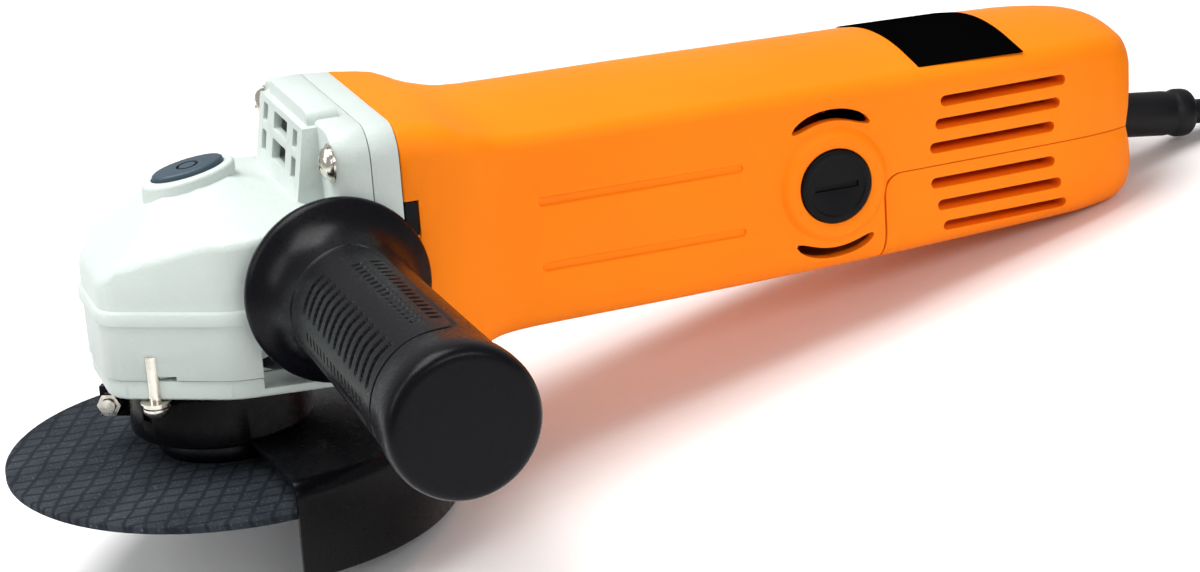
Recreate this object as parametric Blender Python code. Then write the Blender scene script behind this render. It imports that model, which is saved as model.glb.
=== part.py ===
"""Angle grinder with a 115 mm disc, modelled as separate pieces joined by real joints.

Sizes are in millimetres and become metres where a mesh is made. The tool frame has its
origin where the spindle's axis meets the armature's axis: +X runs back along the body,
+Z up the spindle, and the side handle points along -Y. The empty "tool_frame" carries
every piece of the tool and tilts it onto its guard's rim and its rear lower edge, as the
tool lies on a bench. The cord, its coil and its plug lie on the bench behind it.
"""

from math import atan2, ceil, cos, hypot, pi, radians, sin, sqrt, tan

import bmesh
import bpy
from mathutils import Vector

MM = 0.001
GAP = 0.3
ROUND = 28
SMALL_ROUND = 12

# The disc, the spindle and what clamps the disc.
DISC_RADIUS = 57.5
DISC_TOP = -51.3
DISC_THICKNESS = 2.3
DISC_BORE_RADIUS = 11.1
SPINDLE_THREAD_RADIUS = 7.0
SPINDLE_RADIUS = 6.0
SPINDLE_TOP_RADIUS = 3.0
SPINDLE_TOP = 8.5
SPINDLE_END = -64.0
FLANGE_RADIUS = 17.4
LOCK_NUT_RADIUS = 17.0
LOCK_NUT_HEIGHT = 7.5

# The bevel gears, whose pitch cones share the frame's origin as their apex.
GEAR_TEETH = 37
PINION_TEETH = 11
GEAR_PITCH_RADIUS = 19.0
GEAR_INNER_RADIUS = 12.6
GEAR_BOTTOM = -16.5
TOOTH_ADDENDUM = 0.75
TOOTH_DEDENDUM = 1.25
LOCK_HOLES = 4
LOCK_PIN_X = -8.5
LOCK_PIN_BOTTOM = -4.9
LOCK_PIN_RADIUS = 1.9

# The gear housing's plan, as corners of its left half with the radius of each.
HEAD_CORNERS = ((-31.0, -15.0, 9.0), (-2.0, -32.6, 20.0), (28.0, -36.2, 0.0))
HEAD_BOTTOM = -24.0
BOX_FLANGE_BOTTOM = -29.3
NECK_RADIUS = 21.8
NECK_BOTTOM = -42.0
FLANGE_FRONT_X = 27.5
SEAM_X = 36.5
BRACKET_END_X = 44.0
CASE_HALF_WIDTH = 37.0
CASE_TOP = 36.0
CASE_BOTTOM = -29.6
CASE_CORNER = 8.0
CASE_SCREW_END = 51.6
CASE_SCREWS = ((-33.4, 28.3), (33.4, 28.3), (-33.4, -22.0), (33.4, -22.0))
BOX_SCREW_AT = 20.5

# The vent box on top of the gear housing.
VENT_HALF_WIDTH = 22.0
VENT_FOOT = (20.3, 14.0)
VENT_BROW = (23.7, 34.8)
VENT_ROWS = ((20.6, 26.0), (28.2, 33.0))
VENT_COLUMNS = ((-17.5, -13.0), (-6.0, 6.0), (13.0, 17.5))

# The side handle, along -Y.
HANDLE_X = 24.8
HANDLE_Z = -2.6
HANDLE_FACE_Y = -37.6
BOSS_END_Y = 37.3
HANDLE_PROFILE = (
    (23.2, 0.0), (23.9, 1.0), (23.9, 3.0), (22.8, 4.2), (19.4, 7.4), (17.2, 11.5),
    (16.2, 17.0), (16.0, 24.0), (16.9, 88.0), (16.3, 88.8), (16.3, 89.8), (17.2, 90.5),
    (18.1, 94.0), (18.1, 106.0), (17.2, 108.1), (15.6, 108.5),
)

# The motor housing: x, half width, top, bottom and corner radius of each station.
BODY_STATIONS = (
    (44.3, 36.6, 35.5, -29.3, 8.0, 0.1),
    (56.0, 36.5, 34.9, -29.1, 9.0, 1.8),
    (63.0, 35.6, 33.4, -28.4, 10.0, 4.2),
    (71.0, 32.4, 32.2, -27.4, 10.0, 5.2),
    (79.0, 31.8, 31.9, -27.0, 10.0, 5.5),
    (120.0, 31.7, 31.6, -26.4, 10.0, 5.3),
    (170.0, 31.0, 31.0, -25.3, 10.0, 5.0),
    (205.0, 29.5, 30.6, -24.4, 10.0, 4.6),
    (238.0, 27.5, 30.0, -23.5, 10.0, 4.2),
    (250.0, 25.3, 28.8, -23.2, 11.0, 4.0),
    (256.0, 22.6, 27.0, -21.85, 11.0, 3.6),
    (258.6, 18.0, 23.8, -19.2, 11.0, 3.2),
    (259.5, 12.0, 18.5, -14.5, 8.0, 2.5),
)
WALL = 2.7
FAN_CHAMBER_END = 64.0
FAN_CHAMBER_HALF_WIDTH = 31.5
INNER_END = 252.0
CROWN_SHARE = 0.3
LABEL_STATIONS = (192.0, 205.0, 222.0)
LABEL_ACROSS = (-24.0, -18.0, -12.0, -6.0, 0.0, 6.0, 12.0, 18.0, 24.0)
LABEL_THICKNESS = 0.4
COVER_FRONT_X = 178.0
# The (x, z) outlines of the shallow V across the tail, above and below the middle line.
UPPER_TAIL = ((280.0, 21.3), (262.0, 21.3), (258.2, 14.3), (254.7, GAP / 2))
LOWER_TAIL = ((262.0, -50.0), (262.0, -14.0), (257.4, -10.0), (254.7, -GAP / 2))
COVER_SCREWS_X = (195.0, 238.0)
BRUSH_X = 163.0
BRUSH_CAP_RADIUS = 10.0
BOSS_RADIUS = 13.2
BOSS_FACE_Y = 33.0
ARC_SLOT_RADIUS = 19.0
ARC_SLOT_WIDTH = 3.0
SLOT_HEIGHTS = (17.45, 11.3, 4.9)
SLOT_ENDS = (195.0, 231.5)
SLOT_WIDTH = 2.6

# The motor.
SHAFT_RADIUS = 4.0
SHAFT_ENDS = (11.8, 189.0)
CORE_ENDS = (90.0, 128.0)
CORE_RADIUS = 14.5
COMMUTATOR_ENDS = (153.0, 172.0)
COMMUTATOR_RADIUS = 10.0
FAN_ENDS = (48.5, 60.0)
FAN_RADIUS = 24.5
FAN_BLADES = 9
STATOR_HALF_WIDTH = 26.5
STATOR_HALF_HEIGHT = 23.1
STATOR_WALL = 3.3

# The slide switch on the right side.
ROD_Y = (26.9, 27.9)
ROD_Z = (12.0, 18.0)
KNOB_X = (84.0, 112.0)
SWITCH_TRAVEL = 8.0
SWITCH_BODY = ((200.0, 228.0), (8.0, 23.0), (-6.0, 18.0))

# The wheel guard, which covers the disc's rear half.
GUARD_RADIUS = 60.8
GUARD_SHEET = 1.5
GUARD_TOP = -43.2
GUARD_BOTTOM = -68.6
GUARD_SWEEP = (-86.0, 94.0)
BAND_INNER_RADIUS = 22.2
BAND_OUTER_RADIUS = 24.0
BAND_TOP = -31.2
LUG_TURN = 150.0

# The cord's gland, and the cord on the bench.
GLAND_DROOP = 6.0
GLAND_START = (250.5, -3.0)
GLAND_BEND_X = 262.5
GLAND_END_X = 288.0
CORD_DIAMETER = 7.0
COIL_MEAN_RADIUS = 40.5
COIL_COLUMNS = 2
COIL_LAYERS = 4
COIL_LIFT = 1.6
TIE_THICKNESS = 1.2
TIE_WIDTH = 9.0

# The tool lies on the guard's rim at (x, z) and on the body's rear lower edge.
RIM_CONTACT = (GUARD_RADIUS, GUARD_BOTTOM)
REAR_CONTACT = (257.0, -21.6)
TILT = atan2(REAR_CONTACT[1] - RIM_CONTACT[1], REAR_CONTACT[0] - RIM_CONTACT[0])
REST_SHIFT = (-95.4, 42.7, RIM_CONTACT[0] * sin(TILT) - RIM_CONTACT[1] * cos(TILT))

FINISHES = {
    "orange_plastic": ((1.0, 0.29, 0.01), 0.42, 0.0),
    "grey_casting": ((0.66, 0.7, 0.67), 0.5, 0.15),
    "black_plastic": ((0.012, 0.013, 0.016), 0.4, 0.0),
    "black_paint": ((0.008, 0.008, 0.01), 0.3, 0.1),
    "button_plastic": ((0.09, 0.12, 0.14), 0.45, 0.0),
    "steel": ((0.55, 0.55, 0.56), 0.32, 1.0),
    "bright_steel": ((0.75, 0.74, 0.7), 0.18, 1.0),
    "copper": ((0.62, 0.25, 0.1), 0.35, 1.0),
    "brass": ((0.7, 0.5, 0.2), 0.3, 1.0),
    "carbon": ((0.03, 0.03, 0.033), 0.7, 0.0),
    "lamination": ((0.25, 0.25, 0.26), 0.45, 0.9),
    "disc": ((0.025, 0.03, 0.04), 0.85, 0.0),
    "rubber": ((0.01, 0.01, 0.012), 0.6, 0.0),
    "felt": ((0.4, 0.38, 0.33), 0.95, 0.0),
}


def clear_scene():
    for old in list(bpy.data.objects):
        bpy.data.objects.remove(old, do_unlink=True)


def make_finish(name):
    colour, roughness, metallic = FINISHES[name]
    finish = bpy.data.materials.new(name)
    finish.use_nodes = True
    shader = finish.node_tree.nodes["Principled BSDF"]
    shader.inputs["Base Color"].default_value = (*colour, 1.0)
    shader.inputs["Roughness"].default_value = roughness
    shader.inputs["Metallic"].default_value = metallic
    return finish


def make_frame(name, parent=None, location=(0.0, 0.0, 0.0)):
    empty = bpy.data.objects.new(name, None)
    empty.location = Vector(location) * MM
    empty.parent = parent
    bpy.context.collection.objects.link(empty)
    return empty


def is_warped(face):
    """Whether a face's corners leave its plane, which a Boolean can't cut cleanly."""
    face.normal_update()
    start = face.verts[0].co
    return any(abs((vertex.co - start).dot(face.normal)) > 1e-8 for vertex in face.verts)


def add_object(name, points, faces, finish=None, pivot=(0.0, 0.0, 0.0), parent="tool_frame",
               split_faces=False):
    """A closed mesh from points in millimetres. Without a finish it is a hidden cutter."""
    mesh = bpy.data.meshes.new(name)
    start = Vector(pivot)
    mesh.from_pydata([(Vector(point) - start) * MM for point in points], [], faces)
    shape = bmesh.new()
    shape.from_mesh(mesh)
    bmesh.ops.recalc_face_normals(shape, faces=shape.faces)
    warped = [face for face in shape.faces if split_faces or is_warped(face)]
    bmesh.ops.triangulate(shape, faces=warped)
    shape.to_mesh(mesh)
    shape.free()
    mesh.shade_smooth()
    mesh.set_sharp_from_angle(angle=radians(35))
    piece = bpy.data.objects.new(name, mesh)
    bpy.context.collection.objects.link(piece)
    piece.location = start * MM
    piece.parent = bpy.data.objects[parent] if parent else None
    if finish:
        mesh.materials.append(bpy.data.materials[finish])
    else:
        piece.hide_render = True
        piece.display_type = "WIRE"
    return piece


def combine(piece, other, operation="DIFFERENCE"):
    boolean = piece.modifiers.new(f"{operation.lower()}_{other.name}"[:60], "BOOLEAN")
    boolean.operation = operation
    boolean.solver = "EXACT"
    boolean.object = other


# Lists of points and faces.


def skin(loops, ring=False):
    """Faces over loops of equal length: capped at both ends, or joined last to first."""
    count = len(loops[0])
    points = [point for loop in loops for point in loop]
    spans = len(loops) if ring else len(loops) - 1
    faces = []
    for span in range(spans):
        a = span * count
        b = (span + 1) % len(loops) * count
        for i in range(count):
            j = (i + 1) % count
            faces.append((a + i, a + j, b + j, b + i))
    if not ring:
        faces.append(tuple(range(count)))
        faces.append(tuple(range(len(points) - count, len(points))))
    return points, faces


def on_axis(axis, radius, angle, along, centre=(0.0, 0.0, 0.0)):
    """The point at a radius and an angle round an axis, and at a height along it."""
    across = (radius * cos(angle), radius * sin(angle))
    x, y, z = {
        "X": (along, across[0], across[1]),
        "Y": (across[0], along, across[1]),
        "Z": (across[0], across[1], along),
    }[axis]
    return (centre[0] + x, centre[1] + y, centre[2] + z)


def turned(axis, profile, sides=ROUND, centre=(0.0, 0.0, 0.0)):
    """A closed profile of (radius, height) turned round an axis. It may start and end on it."""
    solid = profile[0][0] == 0.0
    rim = profile[1:-1] if solid else profile
    loops = []
    for radius, along in rim:
        turn = [2 * pi * step / sides for step in range(sides)]
        loops.append([on_axis(axis, radius, angle, along, centre) for angle in turn])
    points, faces = skin(loops, ring=not solid)
    if not solid:
        return points, faces
    faces = faces[:-2]
    first = len(points)
    points.append(on_axis(axis, 0.0, 0.0, profile[0][1], centre))
    points.append(on_axis(axis, 0.0, 0.0, profile[-1][1], centre))
    last_loop = (len(rim) - 1) * sides
    for i in range(sides):
        j = (i + 1) % sides
        faces.append((first, j, i))
        faces.append((first + 1, last_loop + i, last_loop + j))
    return points, faces


def swept(profile, start, end, steps):
    """A closed profile of (radius, z) swept round Z through part of a turn."""
    loops = []
    for step in range(steps + 1):
        angle = radians(start + (end - start) * step / steps)
        loops.append([on_axis("Z", radius, angle, z) for radius, z in profile])
    return skin(loops)


def prism(axis, outline, low, high):
    """An outline in the plane across an axis, extruded from low to high along it."""
    place = {
        "X": lambda p, q, along: (along, p, q),
        "Y": lambda p, q, along: (p, along, q),
        "Z": lambda p, q, along: (p, q, along),
    }[axis]
    return skin([[place(p, q, along) for p, q in outline] for along in (low, high)])


def block(x, y, z):
    return prism("Z", [(x[0], y[0]), (x[1], y[0]), (x[1], y[1]), (x[0], y[1])], *z)


def cylinder(axis, radius, low, high, centre=(0.0, 0.0, 0.0), sides=SMALL_ROUND):
    return turned(axis, [(0.0, low), (radius, low), (radius, high), (0.0, high)], sides, centre)


def tube(axis, inner, outer, low, high, centre=(0.0, 0.0, 0.0), sides=ROUND):
    profile = [(inner, low), (outer, low), (outer, high), (inner, high)]
    return turned(axis, profile, sides, centre)


def together(*shapes):
    """One list of points and faces from several separate shapes, for a cutter."""
    points = []
    faces = []
    for shape_points, shape_faces in shapes:
        base = len(points)
        points.extend(shape_points)
        faces.extend(tuple(base + index for index in face) for face in shape_faces)
    return points, faces


def filleted(corners, steps=4):
    """A polygon of (p, q, radius) corners, each rounded by an arc of its radius."""
    outline = []
    for index, (p, q, radius) in enumerate(corners):
        here = Vector((p, q))
        before = (Vector(corners[index - 1][:2]) - here).normalized()
        after = (Vector(corners[(index + 1) % len(corners)][:2]) - here).normalized()
        if radius == 0.0:
            outline.append((p, q))
            continue
        half = before.angle(after) / 2
        centre = here + (before + after).normalized() * (radius / sin(half))
        first = here + before * (radius / tan(half)) - centre
        last = here + after * (radius / tan(half)) - centre
        swing = first.angle_signed(last)
        for step in range(steps + 1):
            turn = -swing * step / steps
            outline.append((
                centre.x + first.x * cos(turn) - first.y * sin(turn),
                centre.y + first.x * sin(turn) + first.y * cos(turn),
            ))
    return outline


def rounded_box(half_width, top, bottom, radius, steps=3):
    """A section across X: (y, z) points of a rectangle with round corners."""
    return filleted([
        (-half_width, bottom, radius), (half_width, bottom, radius),
        (half_width, top, radius), (-half_width, top, radius),
    ], steps)


def crown_arc(half_width, rise):
    """Where the crown's arc would have its corner, and the arc's radius."""
    knee = CROWN_SHARE * half_width
    return knee, knee / tan(atan2(rise, half_width - knee) / 2)


def crowned_box(half_width, top, bottom, corner, rise):
    """A section across X like rounded_box, but with a top that falls by the rise to its sides."""
    knee, crown = crown_arc(half_width, rise)
    shoulder = corner - 0.9 * rise
    return filleted([
        (-half_width, bottom, corner), (half_width, bottom, corner),
        (half_width, top - rise, shoulder), (knee, top, crown),
        (-knee, top, crown), (-half_width, top - rise, shoulder),
    ], 3)


def across_x(outline, x):
    return [(x, y, z) for y, z in outline]


# The gear head.


def head_plan(scale=1.0):
    left = [(x, y, radius) for x, y, radius in HEAD_CORNERS]
    right = [(x, -y, radius) for x, y, radius in reversed(HEAD_CORNERS)]
    return [(x * scale, y * scale) for x, y in filleted(left + right, 3)]


def head_top(x, y):
    """The height of the gear head's roof: a front slope, two side slopes and a flat ridge."""
    front = 1.0 + 0.92 * (x + 31.0)
    side = 21.0 + 0.14 * x - 0.42 * max(abs(y) - 9.0, 0.0)
    ridge = 21.5 + 0.12 * x
    lowest = min(front, side, ridge)
    blend = sorted((front, side))
    near = max(0.0, 1.0 - (blend[1] - blend[0]) / 5.0)
    return lowest - 0.8 * near


def roofed(base, scale, drop, cap):
    """A closed shape on the head's plan, whose top follows the roof, lowered and capped."""
    rings = (1.0, 0.88, 0.72, 0.5, 0.28)
    loops = [[(x, y, base) for x, y in head_plan(scale)]]
    for ring in rings:
        loops.append([
            (x, y, min(head_top(x, y) - drop, cap)) for x, y in head_plan(scale * ring)
        ])
    points, faces = skin(loops)
    return points, faces


def ellipse(centre_x, half_length, half_width, sides=20):
    turn = [2 * pi * step / sides for step in range(sides)]
    return [(centre_x + half_length * cos(a), half_width * sin(a)) for a in turn]


def sloped_oval(half_length, half_width, bottom, top, slope):
    plan = ellipse(-2.0, half_length, half_width)
    low = [(x, y, bottom) for x, y in plan]
    high = [(x, y, top + slope * (x + 2.0)) for x, y in plan]
    return skin([low, high])


def vent_block(inset):
    """The vent box, or its hollow: a block across Y with a leaning front."""
    foot_x, foot_z = VENT_FOOT
    brow_x, brow_z = VENT_BROW
    roof = brow_z - inset
    lean = (brow_x - foot_x) / (brow_z - foot_z)
    low = 17.0 if inset else foot_z
    front = [(foot_x + lean * (z - foot_z) + inset, z) for z in (low, roof)]
    back = SEAM_X + 1.0 if inset else SEAM_X - 4.0
    outline = [front[0], (back, low), (back, roof), front[1]]
    half = VENT_HALF_WIDTH - inset
    return prism("Y", outline, -half, half)


def build_gear_housing():
    housing = add_object("gear_housing", *roofed(HEAD_BOTTOM, 1.0, 0.0, 99.0), "grey_casting")
    section = rounded_box(CASE_HALF_WIDTH, CASE_TOP, CASE_BOTTOM, CASE_CORNER)
    flange = add_object("flange_form", *prism("X", section, FLANGE_FRONT_X, SEAM_X))
    box = add_object("vent_form", *vent_block(0.0))
    bar = rounded_box(21.0, 38.2, 30.0, 1.5, 2)
    bar = add_object("bar_form", *prism("X", bar, 26.5, 33.0))
    collar = add_object("collar_form", *sloped_oval(11.8, 8.6, 8.0, 23.4, 0.17))
    bosses = [
        add_object(f"boss_form_{name}", *cylinder("Y", 12.0, *sorted((side * 24.0, side * BOSS_END_Y)),
                                                 (HANDLE_X, 0.0, HANDLE_Z), 20))
        for name, side in (("left", -1), ("right", 1))
    ]
    for form in (flange, box, bar, collar, *bosses):
        combine(housing, form, "UNION")
    cavity = add_object("gear_cavity", *roofed(HEAD_BOTTOM - 2.0, 0.84, 5.0, 11.5))
    hollow = add_object("vent_cavity", *vent_block(2.6))
    bearing_seat = cylinder("X", 11.3, 24.7, SEAM_X + 1.0, sides=20)
    shaft_hole = cylinder("X", 6.2, 15.0, 26.0)
    throat = add_object("shaft_cavity", *shaft_hole)
    seat = add_object("bearing_cavity", *bearing_seat)
    for form in (cavity, hollow, throat, seat):
        combine(housing, form)
    guide = tube("Z", 5.2, 6.3, 2.0, 13.0, sides=16)
    combine(housing, add_object("guide_form", *guide), "UNION")
    recess = sloped_oval(9.7, 6.6, 15.0, 30.0, 0.0)
    combine(housing, add_object("button_recess", *recess))
    pin_hole = cylinder("Z", LOCK_PIN_RADIUS + GAP, 5.0, 20.0, (LOCK_PIN_X, 0.0, 0.0))
    combine(housing, add_object("pin_hole", *pin_hole))
    openings = [
        block((15.0, 27.0), columns, rows) for rows in VENT_ROWS for columns in VENT_COLUMNS
    ]
    combine(housing, add_object("vent_openings", *together(*openings)))
    holes = [
        cylinder("X", 2.0 + GAP, 20.0, SEAM_X + 1.0, (0.0, y, z), 8) for y, z in CASE_SCREWS
    ]
    holes += [
        cylinder("Y", 4.0 + GAP, *sorted((side * 25.0, side * 40.0)), (HANDLE_X, 0.0, HANDLE_Z))
        for side in (-1, 1)
    ]
    holes += [
        cylinder("Z", 1.7 + GAP, HEAD_BOTTOM - 1.0, HEAD_BOTTOM + 9.0, (x, y, 0.0), 8)
        for x, y in box_screw_places()
    ]
    combine(housing, add_object("screw_holes", *together(*holes)))
    combine(housing, add_object("screw_wells", *together(*screw_wells())))


def screw_wells():
    """Room in front of the flange for the lower screws' heads and for a driver."""
    return [
        cylinder("X", 5.0, 5.0, FLANGE_FRONT_X, (0.0, y, z), 12) for y, z in CASE_SCREWS if z < 0
    ]


def box_screw_places():
    return [(sx * BOX_SCREW_AT, sy * BOX_SCREW_AT) for sx in (-1, 1) for sy in (-1, 1)]


def build_middle_bracket():
    outer = rounded_box(CASE_HALF_WIDTH, CASE_TOP, CASE_BOTTOM, CASE_CORNER)
    back = rounded_box(CASE_HALF_WIDTH - 0.5, CASE_TOP - 0.5, CASE_BOTTOM + 0.3, CASE_CORNER)
    inner = rounded_box(30.5, 31.5, -25.0, 12.0)
    start = SEAM_X + GAP
    end = BRACKET_END_X
    loops = [across_x(outer, start), across_x(back, end), across_x(inner, end)]
    loops.append(across_x(inner, start))
    bracket = add_object("middle_bracket", *skin(loops, ring=True), "grey_casting")
    holes = [cylinder("X", 2.3, start - 1, end + 1, (0.0, y, z), 8) for y, z in CASE_SCREWS]
    combine(bracket, add_object("bracket_holes", *together(*holes)))


def build_bearing_box():
    plan = head_plan(0.985)
    cut_x = FLANGE_FRONT_X - 1.5
    plan = [(min(x, cut_x), y) for x, y in plan]
    flange = prism("Z", plan, BOX_FLANGE_BOTTOM, HEAD_BOTTOM - GAP)
    box = add_object("bearing_box", *flange, "grey_casting")
    neck = cylinder("Z", NECK_RADIUS, NECK_BOTTOM, BOX_FLANGE_BOTTOM + 2.0, sides=ROUND)
    combine(box, add_object("neck_form", *neck), "UNION")
    seat = turned("Z", [
        (0.0, -45.0), (9.5, -45.0), (9.5, -38.0), (16.3, -38.0),
        (16.3, -20.0), (0.0, -20.0),
    ])
    combine(box, add_object("box_cavity", *seat))
    holes = [
        cylinder("Z", 2.0, BOX_FLANGE_BOTTOM - 1.0, HEAD_BOTTOM + 1.0, (x, y, 0.0), 8)
        for x, y in box_screw_places()
    ]
    holes += screw_wells()
    combine(box, add_object("box_holes", *together(*holes)))


def screw(name, axis, direction, head_at, length, shank, head_radius, centre, finish="bright_steel"):
    """A pan-head screw: its head stands behind head_at and its shank runs in a direction."""
    height = head_radius * 0.62
    profile = [
        (0.0, -height), (head_radius * 0.55, -height), (head_radius * 0.9, -height * 0.6),
        (head_radius, -0.15), (shank, -0.15), (shank, length - 0.6), (shank * 0.6, length),
        (0.0, length),
    ]
    profile = [(radius, head_at + direction * along) for radius, along in profile]
    pivot = on_axis(axis, 0.0, 0.0, head_at, centre)
    return add_object(name, *turned(axis, profile, 10, centre), finish, pivot)


def build_case_screws():
    for index, (y, z) in enumerate(CASE_SCREWS, 1):
        centre = (0.0, y, z)
        screw(f"case_screw_{index}", "X", 1.0, FLANGE_FRONT_X - GAP,
              CASE_SCREW_END - FLANGE_FRONT_X + GAP, 2.0, 4.3, centre)
    for index, (x, y) in enumerate(box_screw_places(), 1):
        head_at = BOX_FLANGE_BOTTOM - GAP
        screw(f"box_screw_{index}", "Z", 1.0, head_at, 12.0, 1.7, 3.8, (x, y, 0.0))


# The gear pair, the spindle and the disc.


def tooth_stations(teeth, half_root, half_top):
    """(angle, tooth height 0 or 1) round a gear, with a tooth centred on angle 0."""
    pitch = 2 * pi / teeth
    stations = []
    for tooth in range(teeth):
        centre = tooth * pitch
        stations.append((centre - half_root * pitch, 0.0))
        stations.append((centre - half_top * pitch, 1.0))
        stations.append((centre + half_top * pitch, 1.0))
        stations.append((centre + half_root * pitch, 0.0))
    return stations


def toothed(axis, stations, profile_at, turn=0.0):
    """A ring round an axis whose profile depends on whether the station is on a tooth."""
    loops = []
    for angle, height in stations:
        profile = profile_at(height)
        loops.append([on_axis(axis, radius, angle + turn, along) for radius, along in profile])
    return skin(loops, ring=True)


def cone_offset(radius, along, offset, size):
    """A point of a pitch cone, moved by offset at full size, square to the cone."""
    reach = hypot(radius, along)
    step = offset * reach / size
    return (radius - step * along / reach, along + step * radius / reach)


def build_gear_pair():
    depth = GEAR_PITCH_RADIUS * PINION_TEETH / GEAR_TEETH
    size = hypot(GEAR_PITCH_RADIUS, depth)
    scale = GEAR_INNER_RADIUS / GEAR_PITCH_RADIUS

    def gear_profile(height):
        offset = TOOTH_ADDENDUM if height else -TOOTH_DEDENDUM
        outer = cone_offset(GEAR_PITCH_RADIUS, -depth, offset, size)
        inner = cone_offset(GEAR_INNER_RADIUS, -depth * scale, offset, size)
        bore = SPINDLE_RADIUS + GAP
        return [(bore, GEAR_BOTTOM), (outer[0], GEAR_BOTTOM + 3.0), outer, inner, (bore, -8.4)]

    def pinion_profile(height):
        offset = TOOTH_ADDENDUM if height else -TOOTH_DEDENDUM
        outer = cone_offset(-depth, GEAR_PITCH_RADIUS, offset, size)
        inner = cone_offset(-depth * scale, GEAR_INNER_RADIUS, offset, size)
        bore = 1.9 + GAP
        return [
            (bore, GEAR_INNER_RADIUS - 0.2), (-inner[0], inner[1]), (-outer[0], outer[1]),
            (3.9, 20.6), (bore, 20.6),
        ]

    gear_stations = tooth_stations(GEAR_TEETH, 0.34, 0.1)
    gear = add_object("bevel_gear", *toothed("Z", gear_stations, gear_profile), "steel")
    holes = [
        cylinder("Z", LOCK_PIN_RADIUS + 0.5, GEAR_BOTTOM - 2.0, -5.0,
                 on_axis("Z", -LOCK_PIN_X, pi + 2 * pi * step / LOCK_HOLES, 0.0), 12)
        for step in range(LOCK_HOLES)
    ]
    combine(gear, add_object("lock_holes", *together(*holes)))
    pinion_stations = tooth_stations(PINION_TEETH, 0.34, 0.1)
    mesh_turn = -pi / 2 + pi / PINION_TEETH
    teeth = toothed("X", pinion_stations, pinion_profile, mesh_turn)
    add_object("pinion", *teeth, "steel")


def build_spindle():
    profile = [
        (0.0, SPINDLE_TOP), (SPINDLE_TOP_RADIUS - 0.6, SPINDLE_TOP),
        (SPINDLE_TOP_RADIUS, SPINDLE_TOP - 0.6), (SPINDLE_TOP_RADIUS, -7.0),
        (SPINDLE_RADIUS, -7.4), (SPINDLE_RADIUS, -36.0),
        (8.6, -36.4), (8.6, -45.6), (SPINDLE_THREAD_RADIUS, -45.9),
        (SPINDLE_THREAD_RADIUS, SPINDLE_END + 1.0), (SPINDLE_THREAD_RADIUS - 1.0, SPINDLE_END),
        (0.0, SPINDLE_END),
    ]
    add_object("spindle", *turned("Z", profile), "steel")
    add_object("spindle_bearing", *tube("Z", 6.0 + GAP, 16.0, -35.4, -25.4), "bright_steel")
    bush = tube("Z", SPINDLE_TOP_RADIUS + GAP, 4.9, 2.6, 9.6, sides=24)
    add_object("spindle_top_bush", *bush, "brass")
    seal = tube("Z", 6.0 + GAP, 15.9, -24.8, -23.2, sides=32)
    add_object("grease_seal", *seal, "felt")
    flange = turned("Z", [
        (SPINDLE_THREAD_RADIUS + GAP, -46.4), (16.6, -46.4), (FLANGE_RADIUS, -47.2),
        (FLANGE_RADIUS, DISC_TOP + GAP), (SPINDLE_THREAD_RADIUS + GAP, DISC_TOP + GAP),
    ])
    add_object("inner_flange", *flange, "steel")
    disc_bottom = DISC_TOP - DISC_THICKNESS
    disc = tube("Z", DISC_BORE_RADIUS, DISC_RADIUS, disc_bottom, DISC_TOP, sides=48)
    add_object("grinding_disc", *disc, "disc")
    nut_top = disc_bottom - GAP
    nut = turned("Z", [
        (SPINDLE_THREAD_RADIUS + GAP, nut_top), (LOCK_NUT_RADIUS, nut_top),
        (LOCK_NUT_RADIUS, nut_top - 3.5), (12.0, nut_top - LOCK_NUT_HEIGHT),
        (SPINDLE_THREAD_RADIUS + GAP, nut_top - LOCK_NUT_HEIGHT),
    ])
    nut = add_object("lock_nut", *nut, "steel")
    spanner_holes = [
        cylinder("Z", 1.9, nut_top - 10.0, nut_top - 2.0, (x, 0.0, 0.0), 10)
        for x in (-14.4, 14.4)
    ]
    combine(nut, add_object("spanner_holes", *together(*spanner_holes)))


def helix(name, axis, radius, wire, low, high, turns, centre, finish):
    """A closed round wire wound round an axis."""
    steps = 8
    count = int(turns * steps)
    curve = bpy.data.curves.new(name, "CURVE")
    curve.dimensions = "3D"
    curve.bevel_depth = wire * MM
    curve.bevel_resolution = 0
    curve.use_fill_caps = True
    path = curve.splines.new("POLY")
    path.points.add(count)
    for index in range(count + 1):
        along = low + (high - low) * index / count
        point = on_axis(axis, radius, 2 * pi * index / steps, along, centre)
        path.points[index].co = (*(Vector(point) * MM), 1.0)
    curve.materials.append(bpy.data.materials[finish])
    coil = bpy.data.objects.new(name, curve)
    coil.parent = bpy.data.objects["tool_frame"]
    bpy.context.collection.objects.link(coil)


def build_spindle_lock():
    cap = sloped_oval(9.2, 6.1, 19.3, 24.2, 0.17)
    pivot = (LOCK_PIN_X, 0.0, 19.3)
    button = add_object("lock_button", *cap, "button_plastic", pivot)
    pin = cylinder("Z", LOCK_PIN_RADIUS, LOCK_PIN_BOTTOM, 21.0, (LOCK_PIN_X, 0.0, 0.0))
    combine(button, add_object("lock_pin_form", *pin), "UNION")
    centre = (LOCK_PIN_X, 0.0, 0.0)
    helix("lock_spring", "Z", 2.75, 0.3, 15.6, 18.7, 3.0, centre, "bright_steel")


# The guard.


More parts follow.
